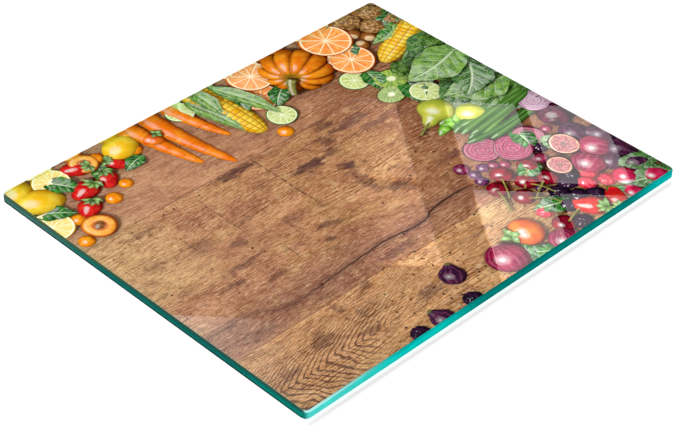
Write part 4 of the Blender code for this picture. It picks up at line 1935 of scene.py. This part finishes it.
# %% Print the whole fruits
# Each kind: its pairs of colours, and then what sets its skin apart.
SKINS = {
    "berry": (("c0203a", "d8485a"), ("1c1224", "3a1c38"), dict(shine=0.7, spot=(0.95, 0.99), core=0.0)),
    "golden_berry": (("ec7c10", "f6a21e"), {}),
    "cherry": (("6b0a18", "96122a"), dict(blotch=0.25, shine=0.38, spot=(0.92, 1.0), core=0.85)),
    "currant": (("7a1a3a", "9c3656"), ("4c1c44", "74446e"), dict(blotch=0.4, spot=(0.9, 1.0), core=0.6)),
    "lemon": (
        ("efb91a", "f6d23e"),
        dict(
            blotch=0.15, speck=("d99a10", 22.0, 0.35), tip=("c9a83a", 0.93, 1.0), spot=(0.9, 1.0),
            core=0.3, grain=0.35, grain_scale=1.5,
        ),
    ),
    "red_onion": (
        ("7c1236", "9e2048"),
        dict(
            blotch=0.12, stripe=("cf6a8c", 16, 0.35), tip=("c9a070", 0.93, 1.0), shine=0.3,
            spot=(0.88, 1.0), core=0.6, grain=0.12,
        ),
    ),
    "persimmon": (
        ("ec7c1e", "d9561a"),
        dict(
            blotch=0.15, speck=("f6a63a", 20.0, 0.3), shine=0.35, spot=(0.88, 1.0), core=0.6,
            grain=0.08,
        ),
    ),
    "pear": (
        ("a9b53a", "c9c64e"),
        dict(
            blotch=0.12, speck=("7d7426", 24.0, 0.6), tip=("8a7a3a", 0.95, 1.0), shine=0.45,
            spot=(0.9, 1.0), core=0.6, grain=0.1,
        ),
    ),
    "dark_fig": (
        ("2c1230", "54203e"),
        dict(
            blotch=0.2, stripe=("8a5570", 11, 0.4), tip=("7a7a3a", 0.93, 1.0), shine=0.16,
            spot=(0.88, 1.0), core=0.4,
        ),
    ),
    "radish": (("b51440", "cf2c58"), ("f1dcd8", "f3e4e0"), dict(tip=("f3dfe2", 0.55, 0.95))),
    "beetroot": (
        ("3a0d22", "6a1c3c"),
        dict(blotch=0.3, shine=0.25, spot=(0.9, 0.99), core=0.0, grain=0.4, grain_scale=0.7),
    ),
}
for kind, (*pairs, skin) in SKINS.items():
    ink_piece(kind, whole(kind, *pairs, **skin))

# %% [markdown]
# ## Vegetables with a pattern
# A carrot has rings, a pumpkin ribs, a cob rows of kernels, and a head of broccoli small buds. A
# drawn image would have to be stretched over each shape. Here most patterns follow the thing's own
# marks, so they bend and taper with it, and nodes work them out at every point.


# %% Carrot, pumpkin, corn and broccoli
def carrot_print():
    recipe = Recipe("carrot_print")
    _, across, along = marks_of(recipe)
    rings = recipe.noise(recipe.join(along * 0.9, across * 1.2, tint_of(recipe)), 2.0)
    colour = recipe.coats(
        blotched(recipe, "e8700e", "f28a1e", 0.12),
        (rings.smooth(0.58, 0.70, 0.0, 0.6), "a8460a"),
        (rings.smooth(0.38, 0.30, 0.0, 0.5), "fbb05a"),
    )
    return printed(recipe, colour, 0.22, (0.93, 1.0), 0.25, 0.9)


def pumpkin_print():
    recipe = Recipe("pumpkin_print")
    x, y, z = marks_of(recipe)
    ribs = (recipe.math("ARCTAN2", y, x) * 5.5).sine()
    freckles = recipe.cells(recipe.vector("SCALE", recipe.attribute("mark"), 26.0))
    colour = recipe.coats(
        blotched(recipe, "e0700c", "f0921c", 0.15),
        (abs(ribs).smooth(0.45, 0.0) * 0.55, "a8440a"),
        (z.smooth(0.85, 0.99, 0.0, 0.7), "8a7a22"),
        (freckles.smooth(0.22, 0.1, 0.0, 0.5), "f8c070"),
        (tint_of(recipe).smooth(0.4, 0.6), blotched(recipe, "6b6a2a", "a39a56", 0.6)),
    )
    return printed(recipe, colour, 0.35, (0.93, 0.995), 0.08, 0.6)


def corn_print():
    """Kernels in rows, each of its own yellow, with dark gaps between them."""
    recipe = Recipe("corn_print")
    _, across, along = marks_of(recipe)
    row, kernel = across * 2.75, along / KERNEL_MM
    cell = recipe.join(row.whole_part(), kernel.whole_part())
    each = recipe.add("TexWhiteNoise", {"Vector": cell}, "Value")
    beside, behind = abs(row.rest_part() - 0.5), abs(kernel.rest_part() - 0.5)
    gap = recipe.largest(beside, behind).smooth(0.36, 0.49, 0.0, 0.7)
    colour = recipe.coats("efae12", (each, "f8d64a"), (gap, "a8640c"))
    return printed(recipe, colour, 0.4, (0.96, 0.998))


def broccoli_print():
    recipe = Recipe("broccoli_print")
    beads = recipe.cells(recipe.place_mm(1.5))
    colour = recipe.coats(
        blotched(recipe, "36641f", "6f9a3e", 0.25, 0.3, 0.7),
        (beads.smooth(0.35, 0.05, 0.0, 0.8), "a9c468"),
        (beads.smooth(0.45, 0.75, 0.0, 0.8), "16330f"),
    )
    return printed(recipe, colour, 0.1, (0.9, 1.0), 0.7, 1.4)


press_kinds(carrot=carrot_print(), pumpkin=pumpkin_print(), corn=corn_print(), broccoli=broccoli_print())

# %% [markdown]
# ## Leaves and pods
# A leaf has a middle rib, side veins and a fine net between them, all pale on green. Its marks run
# along it and across it, so that a side vein is a slanted line between them, and a sine repeats it.
# All leaves share one finish, and the tint of each says which green it has.


# %% Pods, beans, leaves and stems
def bean_print():
    recipe = Recipe("bean_print")
    _, across, _ = marks_of(recipe)
    ridge = abs(across).smooth(0.10, 0.0, 0.0, 0.35)
    colour = recipe.coats("2c5c1c", (tint_of(recipe), "5f8c34"), (ridge, "a4c070"))
    return printed(recipe, colour, 0.28, (0.94, 0.995), 0.1, 1.0)


def leaf_print():
    """Veins and a fine net over patches of two greens, which go by the kind of leaf."""
    recipe = Recipe("leaf_print")
    along, across, _ = marks_of(recipe)
    tint = tint_of(recipe)
    side = abs(across)
    spinach, basil = tint.smooth(0.3, 0.7), tint.smooth(0.8, 1.0)
    light_green = recipe.coats("7faa3e", (spinach, "246a30"), (basil, "3f8a30"))
    dark_green = recipe.mix(spinach, "3c6c2c", "0c3a1c")
    patches = recipe.noise(recipe.place_mm(), 3.0, 0.6, 0.3).smooth(0.3, 0.7)
    vein = ((along * 6.0 - side * 1.5) * math.pi).sine()
    vein = abs(vein).smooth(0.22, 0.0) * side.smooth(1.0, 0.5)
    net = recipe.cells(recipe.place_mm(0.42), "DISTANCE_TO_EDGE").smooth(0.11, 0.0, 0.0, 0.28)
    net = net * (1.0 - tint.smooth(0.7, 1.0))
    lines = recipe.largest(side.smooth(0.09, 0.02), vein * 0.8, net)
    colour = recipe.coats(dark_green, (patches, light_green), (lines, "c3d4ac"))
    return printed(recipe, colour, 0.22, (0.9, 0.995), 0.5, 0.7)


pod_light = dict(shine=0.5, spot=(0.95, 0.995), core=0.0)
stem_light = dict(shine=0.3, spot=(0.93, 0.995), core=0.0)
press_kinds(
    pod=whole("pod", ("5d9a2c", "7db63e"), ("86c040", "97cf52"), blotch=0.3, **pod_light),
    bean=bean_print(),
    leaf=leaf_print(),
    stem=whole("stem", ("6e7a2c", "9a8a4a"), blotch=0.5, **stem_light),
)

# %% [markdown]
# ## What is under the picture
# The solids of the white film, the feet and their adhesive are already right, so they only get
# finishes. The film is a satin vinyl with a faint embossed grain, and a painted highlight makes its
# raised points paler. The feet are cast from a clear soft plastic that has gone a little milky, and
# they are greyer towards the bottom. The adhesive is matt, with the tiny bubbles that pressing
# leaves.


# %% Finishes for the solids underneath
def white_vinyl():
    recipe = Recipe("white_vinyl")
    emboss = recipe.cells(recipe.place_mm(1.3))
    cloud = recipe.noise(recipe.place_mm(), 3.0, 0.5, 0.03)
    # A painted highlight: the raised points of the grain are paler.
    raised = emboss.smooth(0.5, 0.1, 0.0, 0.25)
    shader = recipe.principled(
        Base_Color=recipe.coats("ecebe7", (cloud.smooth(0.3, 0.7), "e3e2dc"), (raised, "f6f6f3")),
        Roughness=cloud.smooth(0.3, 0.7, 0.38, 0.52),
        Normal=recipe.bumped(emboss, 0.4, 0.05),
    )
    return recipe.finish(shader)


def soft_plastic():
    recipe = Recipe("soft_plastic")
    _, _, z = recipe.split(recipe.place_mm())
    cloud = recipe.noise(recipe.place_mm(), 4.0, 0.55, 0.5)
    fine = recipe.noise(recipe.place_mm(), 2.0, 0.5, 6.0)
    # Greyer towards the bottom.
    greyer_low = z.smooth(0.9, 0.0, 0.0, 0.5)
    shader = recipe.principled(
        Base_Color=recipe.coats("d3d7d2", (cloud.smooth(0.3, 0.7), "e4e7e2"), (greyer_low, "a8a9a1")),
        Roughness=cloud.smooth(0.3, 0.7, 0.22, 0.42),
        Subsurface_Weight=0.25,
        Subsurface_Radius=(0.002, 0.002, 0.002),
        Normal=recipe.bumped(fine, 0.3, 0.03),
    )
    return recipe.finish(shader)


def matt_adhesive():
    recipe = Recipe("matt_adhesive")
    bubbles = recipe.cells(recipe.place_mm(1.1))
    cloud = recipe.noise(recipe.place_mm(), 3.0, 0.5, 0.4)
    ringed = bubbles.smooth(0.22, 0.12, 0.0, 0.4)
    shader = recipe.principled(
        Base_Color=recipe.coats("ded8c4", (cloud.smooth(0.3, 0.7), "efeadb"), (ringed, "b9b29c")),
        Roughness=bubbles.smooth(0.1, 0.4, 0.5, 0.72),
        Normal=recipe.bumped(bubbles, 0.5, 0.05),
    )
    return recipe.finish(shader)


FINISHES = {"backing_film": white_vinyl(), "foot_adhesive": matt_adhesive(), "foot": soft_plastic()}
for name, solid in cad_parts.items():
    for start, material in FINISHES.items():
        if name.startswith(start):
            solid.data.materials.clear()
            solid.data.materials.append(material)
            print(name, "gets", material.name)
            break
